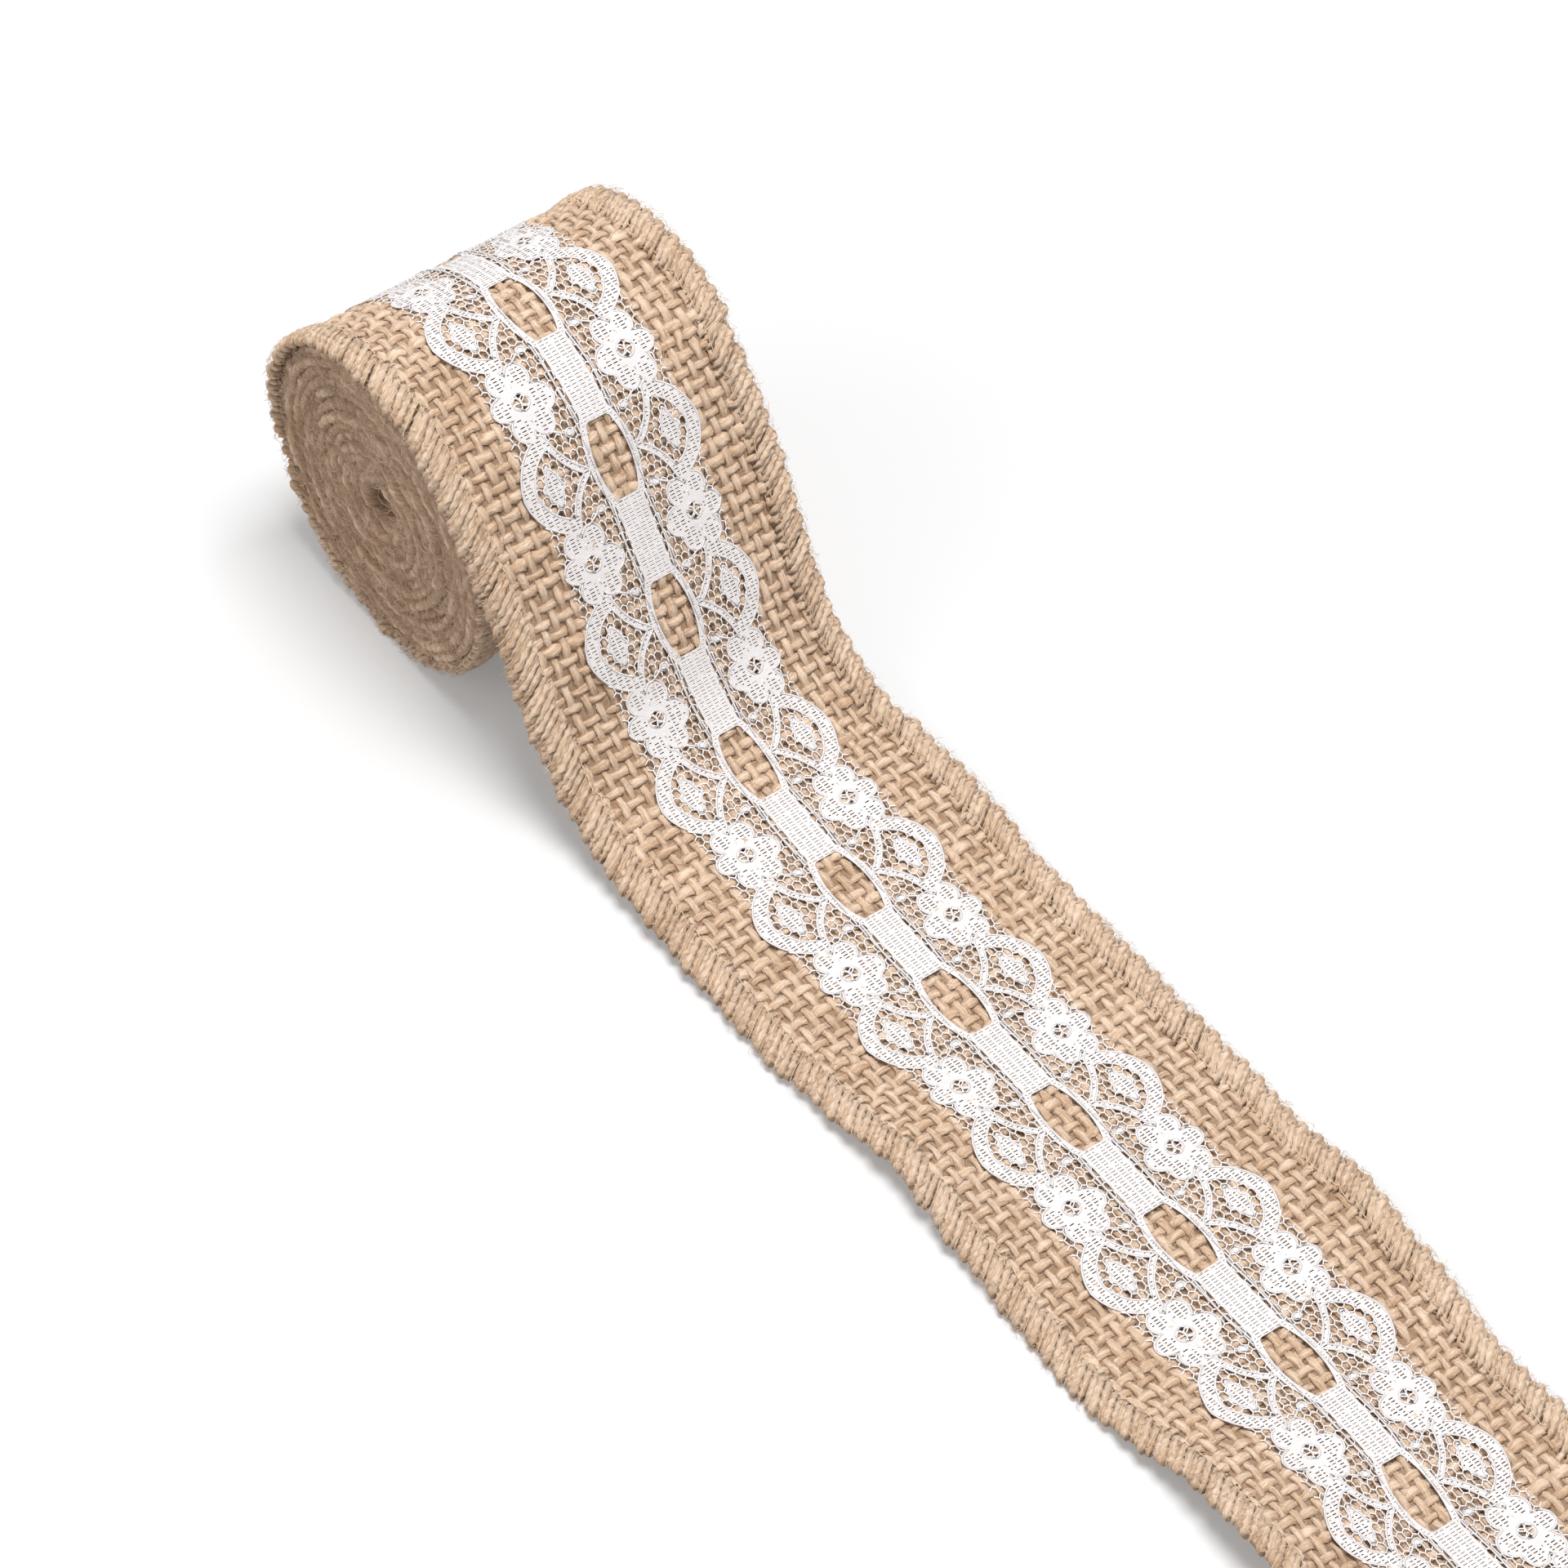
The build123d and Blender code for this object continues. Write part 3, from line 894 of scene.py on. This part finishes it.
class RUNNER_OT_edges(bpy.types.Operator):
    """Overlocks both edges: slanted bundles of yarn ends, and the thin thread that binds them"""
    bl_idname = "runner.edges"
    bl_label = "Overlocked edges"

    def execute(self, context):
        sizes = context.scene.runner_sizes
        loose = jute_material("overlock_yarn", 0.96, depth=0.35)
        felt = jute_material("felted_edge", 0.97, streak_scale=2.0, depth=0.3)
        thread = jute_material("overlock_thread", 1.0, depth=0.0)
        start = VISIBLE_FROM
        pitch = sizes.thread_pitch
        for number, (label, side) in enumerate((("near", -1), ("far", 1))):
            rng = np.random.default_rng(sizes.seed + 11 + number)
            shown = int((path.length - start) / pitch) - 1
            bundle = edge_bundle(side, pitch, rng).mesh("bundle")
            outer = lay(label + "_edge_bundles", bundle, loose, start, shown, pitch,
                        (0.2 * MM, 0.35 * MM, 0.12 * MM), 0.1, 3 + number)
            rim = felted_rim(side, 1 * MM, start + 6 * MM, rng)
            inner = lay(label + "_edge_inner_turns", rim.mesh("rim"), felt)
            shape = Shape()
            route_tube(shape, THREAD_ROUTE, side, 0.06 * MM)
            route_tube(shape, CHAIN_ROUTE, side, 0.085 * MM)
            stitch = shape.mesh("stitch")
            binding = lay(label + "_edge_thread", stitch, thread, start, shown, pitch,
                          (0.3 * MM, 0.2 * MM, 0.05 * MM), 0.1, 15 + number)
            settle(outer, "overlock_thread", label + "_edge_overlock")
            settle(inner, "overlock_thread")
            settle(binding, "overlock_thread")
        return {"FINISHED"}


# ---- the lace ---------------------------------------------------------------------------------
# One repeat is drawn in mm with the middle of a scallop at u = 0 and flowers at both ends.
# Only the far half is drawn: the lace is the same on both sides of its middle.
SCALLOP_LINE = [
    (-7.3, 10.6), (-6.4, 12.3), (-5.1, 13.8), (-3.3, 15.0), (-1.5, 15.7), (0, 15.95), (1.5, 15.7),
    (3.3, 15.0), (5.1, 13.8), (6.4, 12.3), (7.3, 10.6),
]
SCALLOP_HALF = 1.35
# Estimated share of the lace's width and length that the knitted parts cover.
CROSS_LINE = [
    (-7.9, 10.1), (-5.6, 9.4), (-3.4, 8.3), (-1.5, 6.8), (0, 5.0), (1.5, 6.8), (3.4, 8.3), (5.6, 9.4),
    (7.9, 10.1),
]
CROSS_HALF = 0.62
LEAF = [
    (-3.9, 11.4), (-3.1, 12.3), (-2.5, 12.0), (-1.9, 12.9), (-1.2, 12.5), (-0.6, 13.3), (0.1, 13.6),
    (0.7, 12.9), (1.3, 12.7), (1.9, 12.9), (2.5, 12.1), (3.2, 12.2), (3.9, 11.4), (3.1, 10.8),
    (2.5, 10.8), (1.9, 10.1), (1.3, 10.2), (0.6, 9.5), (0.0, 9.4), (-0.6, 10.0), (-1.3, 9.9),
    (-1.9, 10.4), (-2.5, 10.3), (-3.1, 11.0),
]
PETALS = [
    (0, 13.4, 2.15, 2.3), (-4.0, 12.1, 2.3, 1.95), (4.0, 12.1, 2.3, 1.95), (-4.0, 8.4, 2.45, 2.05),
    (4.0, 8.4, 2.45, 2.05), (0.5, 6.9, 2.6, 2.6),
]
FLOWER_EYE = (0, 10.2)
FLOWER_DISC = 3.2
FLOWER_HOLE = 1.3
FLOWER_SPOKES = (15, 95, 165, 235, 310)
BUD = (6.75, 5.3, 0.8, 0.95)
OPENING_HALF = 6.75
LADDER_HALF = 2.75
NET_EDGE = 15.3
SLIT_PITCH = (0.594, 1.15)
SLIT_SIZE = (0.19, 0.8)
LADDER_SLIT = (0.11, 0.86)
SLIT_MARGIN = 0.2
CLOSED_SLITS = 0.1
PETAL_MARGIN = 0.3
CORD_INSET = 0.16


def line_distance(u, y, line, closed=False):
    """Distance in mm from points to a broken line."""
    points = list(line) + ([line[0]] if closed else [])
    best = np.full(np.shape(u), 1e9)
    for (ax, ay), (bx, by) in zip(points[:-1], points[1:]):
        dx, dy = bx - ax, by - ay
        part = np.clip(((u - ax) * dx + (y - ay) * dy) / (dx * dx + dy * dy), 0, 1)
        best = np.minimum(best, np.hypot(u - ax - part * dx, y - ay - part * dy))
    return best


def inside(u, y, line):
    """Whether points lie inside a closed broken line."""
    odd = np.zeros(np.shape(u), bool)
    for (ax, ay), (bx, by) in zip(line, list(line[1:]) + [line[0]]):
        crosses = (ay > y) != (by > y)
        at = ax + (y - ay) * (bx - ax) / (by - ay if by != ay else 1e-9)
        odd ^= crosses & (u < at)
    return odd


def opening_top(u):
    return 3.35 - 1.3 * np.minimum(np.abs(u) / OPENING_HALF, 1) ** 2.2


def rim_top(u):
    return 4.55 - 1.6 * np.minimum(np.abs(u) / 7.7, 1) ** 2


def keep_out(parts, u, y):
    """Cuts the long opening out of signed distances."""
    opening = np.maximum(y - opening_top(u), np.abs(u) - OPENING_HALF)
    return [np.maximum(part, -opening) for part in parts]


def open_parts(u, y, repeat):
    """Signed distances in mm to the parts knitted with slits, negative inside. y is outwards."""
    leaf = line_distance(u, y, LEAF, True)
    parts = [
        line_distance(u, y, SCALLOP_LINE) - SCALLOP_HALF, line_distance(u, y, CROSS_LINE) - CROSS_HALF,
        np.where(inside(u, y, LEAF), -leaf, leaf)]
    for centre in (-repeat / 2, repeat / 2):
        hole = FLOWER_HOLE - np.hypot(u - centre, y - FLOWER_EYE[1])
        for pu, py, wide, tall in PETALS:
            ratio = np.hypot((u - centre - pu) / wide, (y - py) / tall)
            parts.append(np.maximum((ratio - 1) * min(wide, tall), hole) + PETAL_MARGIN)
    return keep_out(parts, u, y)


def plain_parts(u, y, repeat):
    """Signed distances in mm to the small parts that have no slits."""
    parts = []
    for side in (-1, 1):
        away = np.hypot(u - side * repeat / 2, y - FLOWER_EYE[1])
        for pu, py, wide, tall in PETALS:
            ratio = np.hypot((u - side * repeat / 2 - pu) / wide, (y - py) / tall)
            parts.append(np.maximum((ratio - 1) * min(wide, tall), FLOWER_HOLE - away))
        parts.append(np.maximum(away - FLOWER_DISC, FLOWER_HOLE - away))
        bud = np.hypot((u - side * BUD[0]) / BUD[2], (y - BUD[1]) / BUD[3])
        parts.append((bud - 1) * BUD[2])
    return keep_out(parts, u, y)


def ladder_parts(u, y, repeat):
    """Signed distance in mm to the ladders and the rims of the openings."""
    rim = np.where(np.abs(u) < 7.7, y - rim_top(u), 9.0)
    return keep_out([np.minimum(y - LADDER_HALF, rim)], u, y)


def solid_lace(u, y, repeat):
    """Signed distance in mm to all of the closely knitted lace."""
    return np.min(open_parts(u, y, repeat) + plain_parts(u, y, repeat) + ladder_parts(u, y, repeat), axis=0)


def slit_lines(limit, pitch, size, start):
    """Grid lines at both ends of each slit up to a limit, with one between in a long slit."""
    lines, slit = [], []
    value = start
    while value < limit - 1e-6:
        half = value + size / 2
        lines += [value, half] if size > 0.5 else [value]
        slit += [True, True] if size > 0.5 else [True]
        lines.append(value + size)
        slit.append(False)
        value += pitch
    return lines, slit


def knit_shape(repeat, cut, slit_size, with_slits, without_slits):
    """Closely knitted parts of one repeat, up to a cut, as a grid of stitches with slits between."""
    columns = int(round(repeat / SLIT_PITCH[0]))
    pitch = repeat / columns
    u_ends = np.arange(columns) * pitch + slit_size[0]
    u_lines = np.sort(np.concatenate([np.arange(columns + 1) * pitch, u_ends]))
    u_lines = u_lines - repeat / 2
    u_slit = np.arange(len(u_lines) - 1) % 2 == 0
    y_lines, y_slit = slit_lines(LACE_HALF_WIDTH / MM + 0.4, SLIT_PITCH[1], slit_size[1], 0.2)
    y_lines = np.array([0.0] + y_lines)
    y_slit = [False] + y_slit[: len(y_lines) - 2]
    grid_u, grid_y = np.meshgrid(u_lines, y_lines, indexing="ij")
    parts = with_slits(grid_u, grid_y, repeat)
    plain = without_slits(grid_u, grid_y, repeat) if without_slits else []
    field = np.maximum(np.min(parts + plain, axis=0), grid_u - cut)
    deep = np.any([part < -SLIT_MARGIN for part in parts], axis=0)
    closed = np.random.default_rng(SEED).random(field.shape) < CLOSED_SLITS
    keys, co, faces = {}, [], []

    def vertex(key, u, y):
        if key not in keys:
            keys[key] = len(co)
            co.append((u, y))
        return keys[key]

    def edge_vertex(a, b):
        (ia, ja), (ib, jb) = sorted((a, b))
        fa, fb = field[ia, ja], field[ib, jb]
        part = fa / (fa - fb)
        u = u_lines[ia] + part * (u_lines[ib] - u_lines[ia])
        y = y_lines[ja] + part * (y_lines[jb] - y_lines[ja])
        return vertex((ia, ja, ib, jb), u, y)

    for i in range(len(u_lines) - 1):
        for j in range(len(y_lines) - 1):
            ring = [(i, j), (i + 1, j), (i + 1, j + 1), (i, j + 1)]
            if u_slit[i] and y_slit[j] and not closed[i, j] and all(deep[c] for c in ring):
                continue
            face = []
            for here, ahead in zip(ring, ring[1:] + ring[:1]):
                if field[here] < 0:
                    face.append(vertex(here, u_lines[here[0]], y_lines[here[1]]))
                if (field[here] < 0) != (field[ahead] < 0):
                    face.append(edge_vertex(here, ahead))
            if len(face) >= 3:
                faces.append(face)
    return np.array(co), faces


def knit_mesh(sizes, cut):
    """Both halves of one repeat: motifs, and the ladder with finer slits laid a little higher."""
    repeat = sizes.lace_repeat / MM
    rng = np.random.default_rng(sizes.seed + 31)
    shape = Shape()
    for slit_size, lift, with_slits, without_slits in (
            (SLIT_SIZE, 0.0, open_parts, plain_parts), (LADDER_SLIT, 0.05, ladder_parts, None)):
        flat, faces = knit_shape(repeat, cut, slit_size, with_slits, without_slits)
        height = sizes.lace_height / MM + lift + rng.normal(0, 0.02, len(flat))
        for side in (1, -1):
            co = np.stack([flat[:, 0], side * flat[:, 1], height], 1)
            for corners in (3, 4, 5, 6):
                rows = [face if side > 0 else face[::-1] for face in faces if len(face) == corners]
                if not rows:
                    continue
                rows = np.array(rows)
                shape.add(co * MM, rows, co[rows.ravel()][:, :2], 0.5)
    return shape


def contour_lines(field, u_lines, y_lines):
    """Lines along which a grid of values changes sign, linked end to end."""
    places, links = {}, {}

    def crossing(a, b):
        a, b = sorted((a, b))
        if (a, b) not in places:
            part = field[a] / (field[a] - field[b])
            u = u_lines[a[0]] + part * (u_lines[b[0]] - u_lines[a[0]])
            places[(a, b)] = (u, y_lines[a[1]] + part * (y_lines[b[1]] - y_lines[a[1]]))
        return (a, b)

    for i in range(len(u_lines) - 1):
        for j in range(len(y_lines) - 1):
            ring = [(i, j), (i + 1, j), (i + 1, j + 1), (i, j + 1)]
            sides = zip(ring, ring[1:] + ring[:1])
            cuts = [crossing(a, b) for a, b in sides if (field[a] < 0) != (field[b] < 0)]
            for a, b in zip(cuts[::2], cuts[1::2]):
                links.setdefault(a, []).append(b)
                links.setdefault(b, []).append(a)
    lines, used = [], set()
    ends = [key for key in links if len(links[key]) == 1]
    for first in ends + list(links):
        if first in used:
            continue
        line, here = [first], first
        used.add(first)
        while True:
            ahead = [key for key in links[here] if key not in used]
            if not ahead:
                break
            here = ahead[0]
            used.add(here)
            line.append(here)
        if first in links[here] and len(line) > 3:
            line.append(first)
        if len(line) > 3:
            lines.append(np.array([places[key] for key in line]))
    return lines


def even_line(line, step):
    """A broken line with points at even distances."""
    run = np.concatenate([[0], np.cumsum(np.linalg.norm(np.diff(line, axis=0), axis=1))])
    count = max(3, int(round(run[-1] / step)) + 1)
    at = np.linspace(0, run[-1], count)
    return np.stack([np.interp(at, run, line[:, 0]), np.interp(at, run, line[:, 1])], 1)


def cord_lines(repeat, cut):
    """The raised outlines of one half repeat, and the straight cord beside each ladder."""
    u = np.linspace(-repeat / 2, repeat / 2, 97)
    y = np.linspace(0.3, 18.3, 61)
    grid_u, grid_y = np.meshgrid(u, y, indexing="ij")
    field = solid_lace(grid_u, grid_y, repeat) + CORD_INSET
    lines = [even_line(line, 0.75) for line in contour_lines(field, u, y)]
    bow = 3.35 - 0.2 * np.cos(np.linspace(0, 2 * math.pi, 9))
    lines.append(np.stack([np.linspace(7.0, repeat - 7.0, 9), bow], 1))
    for side in (-1, 1):
        lines.append(np.array([(side * 8.3, 8.4), (side * 7.6, 7.2), (side * 6.8, 6.0)]))
    kept = [line[line[:, 0] < cut] for line in lines]
    return [line for line in kept if len(line) > 2]


def cord_mesh(sizes, cut):
    """Outline cords of both halves of one repeat."""
    repeat = sizes.lace_repeat / MM
    height = sizes.lace_height / MM + 0.02
    shape = Shape()
    for side in (1, -1):
        for line in cord_lines(repeat, cut):
            co = np.stack([line[:, 0], side * line[:, 1], np.full(len(line), height)], 1)
            if side < 0:
                co = co[::-1]
            tubes(shape, co[None] * MM, 0.19 * MM, 0.07 * MM, (0.3, 1, 0.01), 4, 0.0, 0.0, 0.5)
    return shape


def net_mesh(sizes, cut):
    """The open hexagonal net between the knitted parts of one repeat."""
    repeat = sizes.lace_repeat / MM
    rng = np.random.default_rng(sizes.seed + 33)
    columns = 18
    half_pitch = repeat / columns
    flat_half = half_pitch * 0.33
    point_half = half_pitch - flat_half
    rise = 0.66
    nodes, edges = {}, set()

    def node(u, y):
        key = (round(u / repeat * 1e4) % 10000, round(y * 100))
        if key not in nodes:
            nodes[key] = rng.normal(0, 0.07, 2)
        return key

    for column in range(columns):
        for row in range(0, 13):
            u0 = column * half_pitch - repeat / 2
            y0 = 2.9 + row * 2 * rise + (rise if column % 2 else 0)
            ring = [(u0 + point_half, y0), (u0 + flat_half, y0 + rise), (u0 - flat_half, y0 + rise),
                    (u0 - point_half, y0), (u0 - flat_half, y0 - rise), (u0 + flat_half, y0 - rise)]
            for a, b in zip(ring, ring[1:] + ring[:1]):
                ka, kb = node(*a), node(*b)
                if (ka, kb) not in edges and (kb, ka) not in edges:
                    edges.add((ka, kb))
                    nodes[(ka, kb)] = (a, b)
    lines = []
    for ka, kb in sorted(edges):
        a, b = (np.array(p) for p in nodes[(ka, kb)])
        a, b = a + nodes[ka], b + nodes[kb]
        middle = (a + b) / 2
        u = (middle[0] + repeat / 2) % repeat - repeat / 2
        if middle[1] > NET_EDGE or middle[1] < 2.6 or middle[0] > cut:
            continue
        if solid_lace(np.array([u]), np.array([middle[1]]), repeat)[0] < -0.25:
            continue
        if abs(u) < OPENING_HALF and middle[1] < opening_top(u):
            continue
        lines.append((a, b))
    for angle in FLOWER_SPOKES if cut > repeat / 2 else ():
        ray = np.array([math.cos(math.radians(angle)), math.sin(math.radians(angle))])
        middle = np.array([repeat / 2 + 0.1, FLOWER_EYE[1]])
        lines.append((middle, middle + (FLOWER_HOLE + 0.15) * ray))
    height = sizes.lace_height / MM - 0.02
    shape = Shape()
    for side in (1, -1):
        co = np.array([[(a[0], side * a[1], height), (b[0], side * b[1], height)] for a, b in lines])
        if side < 0:
            co = co[:, ::-1]
        tubes(shape, co * MM, 0.145 * MM, 0.1 * MM, (0.31, 0.2, 0.01), 3, 0.0, 0.0, 0.5)
    return shape


def lace_start(repeat):
    """First repeat's place along the strip, so that a flower lies at a set reach on the tail."""
    flower = path.distance_at(162.3 * MM)
    first = flower + repeat / 2
    return first - repeat * math.floor((first - VISIBLE_FROM) / repeat)


class RUNNER_OT_lace(bpy.types.Operator):
    """Knits the lace band: close parts with slits, raised outline cords and open net"""
    bl_idname = "runner.lace"
    bl_label = "Lace band"

    def execute(self, context):
        sizes = context.scene.runner_sizes
        white = lace_material()
        repeat = sizes.lace_repeat
        start = lace_start(repeat)
        count = int((path.length - start) / repeat + 0.5)
        last = start + count * repeat
        cut = (path.length - last) / MM
        pieces, ends = [], []
        # The net thread is the lace colour made 1.3 times lighter: painted light that offsets the shade on
        # the thin threads.
        pale = lace_material("net_thread_painted_light", 1.3)
        for name, make, thread in (
                ("motifs", knit_mesh, white), ("outline_cords", cord_mesh, white), ("net", net_mesh, pale)):
            drawn = make(sizes, repeat / MM).mesh(name)
            pieces.append(lay("lace_" + name, drawn, thread, start, count, repeat))
            ends.append(lay("lace_end_" + name, make(sizes, cut).mesh(name), thread, last))
        hidden = slab_shape(0, start - repeat / 2, LACE_HALF_WIDTH, CLOTH_THICKNESS + 0.05 * MM,
                            CLOTH_THICKNESS + LACE_THICKNESS, 1.5 * MM, 2)
        inner = lay("lace_inner_turns", hidden.mesh("lace_inner"), white)
        settle(pieces[0], "lace", "lace_band")
        for piece in pieces[1:] + ends + [inner]:
            settle(piece, "lace")
        return {"FINISHED"}


# ---- the rows of stitching ----------------------------------------------------------------------
class RUNNER_OT_stitches(bpy.types.Operator):
    """Sews the two rows that hold the lace, with a needle thread above and a bobbin thread below"""
    bl_idname = "runner.stitches"
    bl_label = "Lace stitching"

    def execute(self, context):
        sizes = context.scene.runner_sizes
        white = lace_material()
        pitch = sizes.stitch_pitch
        count = int(path.length / pitch) - 1
        top = sizes.lace_height + 0.22 * MM
        for label, side in (("near", -1), ("far", 1)):
            for kind, high, low in (("needle", top, top - 0.4 * MM), ("bobbin", -0.16 * MM, 0.1 * MM)):
                along = np.array([0.02, 0.12, 0.5, 0.88, 0.98]) * pitch
                height = np.array([low, high, high, high, low])
                centre = np.stack([along, np.full(5, side * ROW_Y), height], 1)[None]
                shape = Shape()
                tubes(shape, centre, 0.13 * MM, 0.11 * MM, (0, 1, 0), 4, 0.0, 0.0, 0.5)
                piece = lay(f"{label}_row_{kind}_stitches", shape.mesh("stitch"), white, 0.0, count, pitch,
                            (0.05 * MM, 0.06 * MM, 0), 0.05, 21)
                settle(piece, "sewing_thread", f"{label}_row_{kind}_thread")
        return {"FINISHED"}


# ---- loose fibres ----------------------------------------------------------------------------------
def hair_object(name, length, radius, bow):
    """One bent fibre with a fine point."""
    part = np.linspace(0, 1, 4)
    sway, rise = bow * 0.4 * np.sin(part * 5.0), bow * np.sin(part * math.pi)
    centre = np.stack([length * (part - 0.5), sway, rise], 1)[None]
    shape = Shape()
    taper = np.array([[0.6, 1, 0.9, 0.3]])
    tubes(shape, centre, radius * taper, radius * taper, (0, 1, 0), 3, 0.0, 0.0, 0.5)
    hair = new_object(name, shape.mesh(name))
    hair.hide_render = True
    return hair


def rectangle(corners):
    shape = Shape()
    shape.add(corners, [[0, 1, 2, 3]], [[0, 0]] * 4, 0.5)
    return shape.mesh("patch")


def flat_patch(start, end, low, high, height):
    """Flat rectangle over the strip for fibres to stand on."""
    return rectangle([(start, low, height), (end, low, height), (end, high, height), (start, high, height)])


def side_patch(start, end, side, beyond):
    """Upright rectangle along an edge of the strip for fibres to stand on."""
    y = side * (HALF_WIDTH + beyond)
    return rectangle([(start, y, -0.2 * MM), (end, y, -0.2 * MM), (end, y, 1.4 * MM), (start, y, 1.4 * MM)])


class RUNNER_OT_fuzz(bpy.types.Operator):
    """Scatters the loose fibres that stand off the cloth and off both edges"""
    bl_idname = "runner.fuzz"
    bl_label = "Loose fibres"

    def execute(self, context):
        tree = fuzz_tree()
        pale = jute_material("loose_fibre", 1.04, bump=0.02 * MM, depth=0.0, spread=1.0)
        down = hair_object("down", 1.5 * MM, 0.028 * MM, 0.22 * MM)
        curl = hair_object("curl", 1.7 * MM, 0.028 * MM, 0.5 * MM)
        tangle = hair_object("tangle", 2.9 * MM, 0.036 * MM, 0.75 * MM)
        inner, top = HALF_WIDTH - OVERLOCK_WIDTH, CLOTH_THICKNESS + 0.12 * MM
        middle = (VISIBLE_FROM + path.length) / 2
        flat, loose, face = (0.5, 0.3, math.pi), (0.8, 0.9, math.pi), (0.6, math.pi, 0.35)
        areas = [
            ("cloth_down_roll", down, flat_patch(VISIBLE_FROM, middle, -inner, inner, top), 4.5e5, flat),
            ("cloth_down_tail", down, flat_patch(middle, path.length, -inner, inner, top), 4.5e5, flat),
        ]
        for label, side in (("near", -1), ("far", 1)):
            low, high = sorted((side * inner, side * HALF_WIDTH))
            band = flat_patch(VISIBLE_FROM, path.length, low, high, top + 0.45 * MM)
            areas.append((label + "_edge_down", down, band, 1.6e6, flat))
            rim = side_patch(VISIBLE_FROM, path.length, side, -0.2 * MM)
            areas.append((label + "_edge_curls", curl, rim, 1.1e6, loose))
            wound = side_patch(2 * MM, VISIBLE_FROM, side, 0.1 * MM)
            areas.append((label + "_face_felt", tangle, wound, 4.0e6, face))
        for number, (name, hair, ground_mesh, density, turn) in enumerate(areas):
            ground = new_object(name + "_patch", ground_mesh)
            values = {
                "Hair": hair, "Density": density, "Turn": turn, "Size Spread": 0.5, "Seed": number,
                "Material": pale,
            }
            scattered = apply_tree(ground, tree, values)
            bpy.data.objects.remove(ground)
            settle(lay(name, scattered, pale), "jute")
        for hair in (down, curl, tangle):
            bpy.data.objects.remove(hair)
        return {"FINISHED"}


# ---- stage --------------------------------------------------------------------------------------------
# Each light: name, place in metres, size in metres, power in watts.
LIGHTS = [("key_light", (0.05, 0.12, 1.6), 0.75, 30.8), ("fill_light", (-0.5, -1.3, 0.8), 1.5, 9.2)]
CAMERA_LENS = 131.64
CAMERA_LOOK = (-0.5163, 0.3762, -0.7694)


class RUNNER_OT_stage(bpy.types.Operator):
    """Sets the pale table, the soft light and the camera"""
    bl_idname = "runner.stage"
    bl_label = "Stage"

    def execute(self, context):
        scene = context.scene
        bpy.ops.mesh.primitive_plane_add(size=8, location=(0, 0, -0.05 * MM))
        table = context.object
        table.name = "table_top"
        table.data.materials.append(stage_material())
        world = bpy.data.worlds.new("studio")
        scene.world = world
        world.use_nodes = True
        world.node_tree.nodes["Background"].inputs["Color"].default_value = (1.0, 1.0, 1.0, 1)
        world.node_tree.nodes["Background"].inputs["Strength"].default_value = 0.38
        for name, spot, size, power in LIGHTS:
            lamp = bpy.data.lights.new(name, "AREA")
            lamp.size = size
            lamp.energy = power
            light = new_object(name, lamp)
            light.location = spot
            light.rotation_euler = (-Vector(spot)).to_track_quat("-Z", "Y").to_euler()
        camera = bpy.data.cameras.new("camera")
        camera.lens = CAMERA_LENS
        camera.sensor_width = 36.0
        camera.clip_start = 0.01
        eye = new_object("camera", camera)
        eye.location = (AXIS[0] + 552.3 * MM, -349.2 * MM, 725.0 * MM)
        eye.rotation_euler = Vector(CAMERA_LOOK).to_track_quat("-Z", "Y").to_euler()
        scene.camera = eye
        scene.view_settings.view_transform = "Standard"
        return {"FINISHED"}


class RUNNER_PT_panel(bpy.types.Panel):
    """Lists every step of the runner strip"""
    bl_idname = "RUNNER_PT_panel"
    bl_label = "Jute runner strip"
    bl_space_type = "VIEW_3D"
    bl_region_type = "UI"
    bl_category = "Runner"

    def draw(self, context):
        for step in STEPS:
            self.layout.operator(step.bl_idname, text=step.bl_label)
        for group in (context.scene.runner_sizes, context.scene.runner_colours):
            column = self.layout.column()
            for name in group.bl_rna.properties.keys():
                if name not in ("rna_type", "name"):
                    column.prop(group, name)


STEPS = (
    RUNNER_OT_stage, RUNNER_OT_cloth, RUNNER_OT_edges, RUNNER_OT_lace, RUNNER_OT_stitches, RUNNER_OT_fuzz,
)
CLASSES = (RunnerSizes, RunnerColours, *STEPS, RUNNER_PT_panel)


def register():
    for made in CLASSES:
        bpy.utils.register_class(made)
    bpy.types.Scene.runner_sizes = PointerProperty(type=RunnerSizes)
    bpy.types.Scene.runner_colours = PointerProperty(type=RunnerColours)


def unregister():
    del bpy.types.Scene.runner_colours
    del bpy.types.Scene.runner_sizes
    for made in reversed(CLASSES):
        bpy.utils.unregister_class(made)


def main():
    register()
    for step in STEPS:
        group, name = step.bl_idname.split(".")
        getattr(getattr(bpy.ops, group), name)()
    if "strip_guide" in bpy.data.objects:
        bpy.data.objects.remove(bpy.data.objects["strip_guide"])


if __name__ == "__main__":
    main()
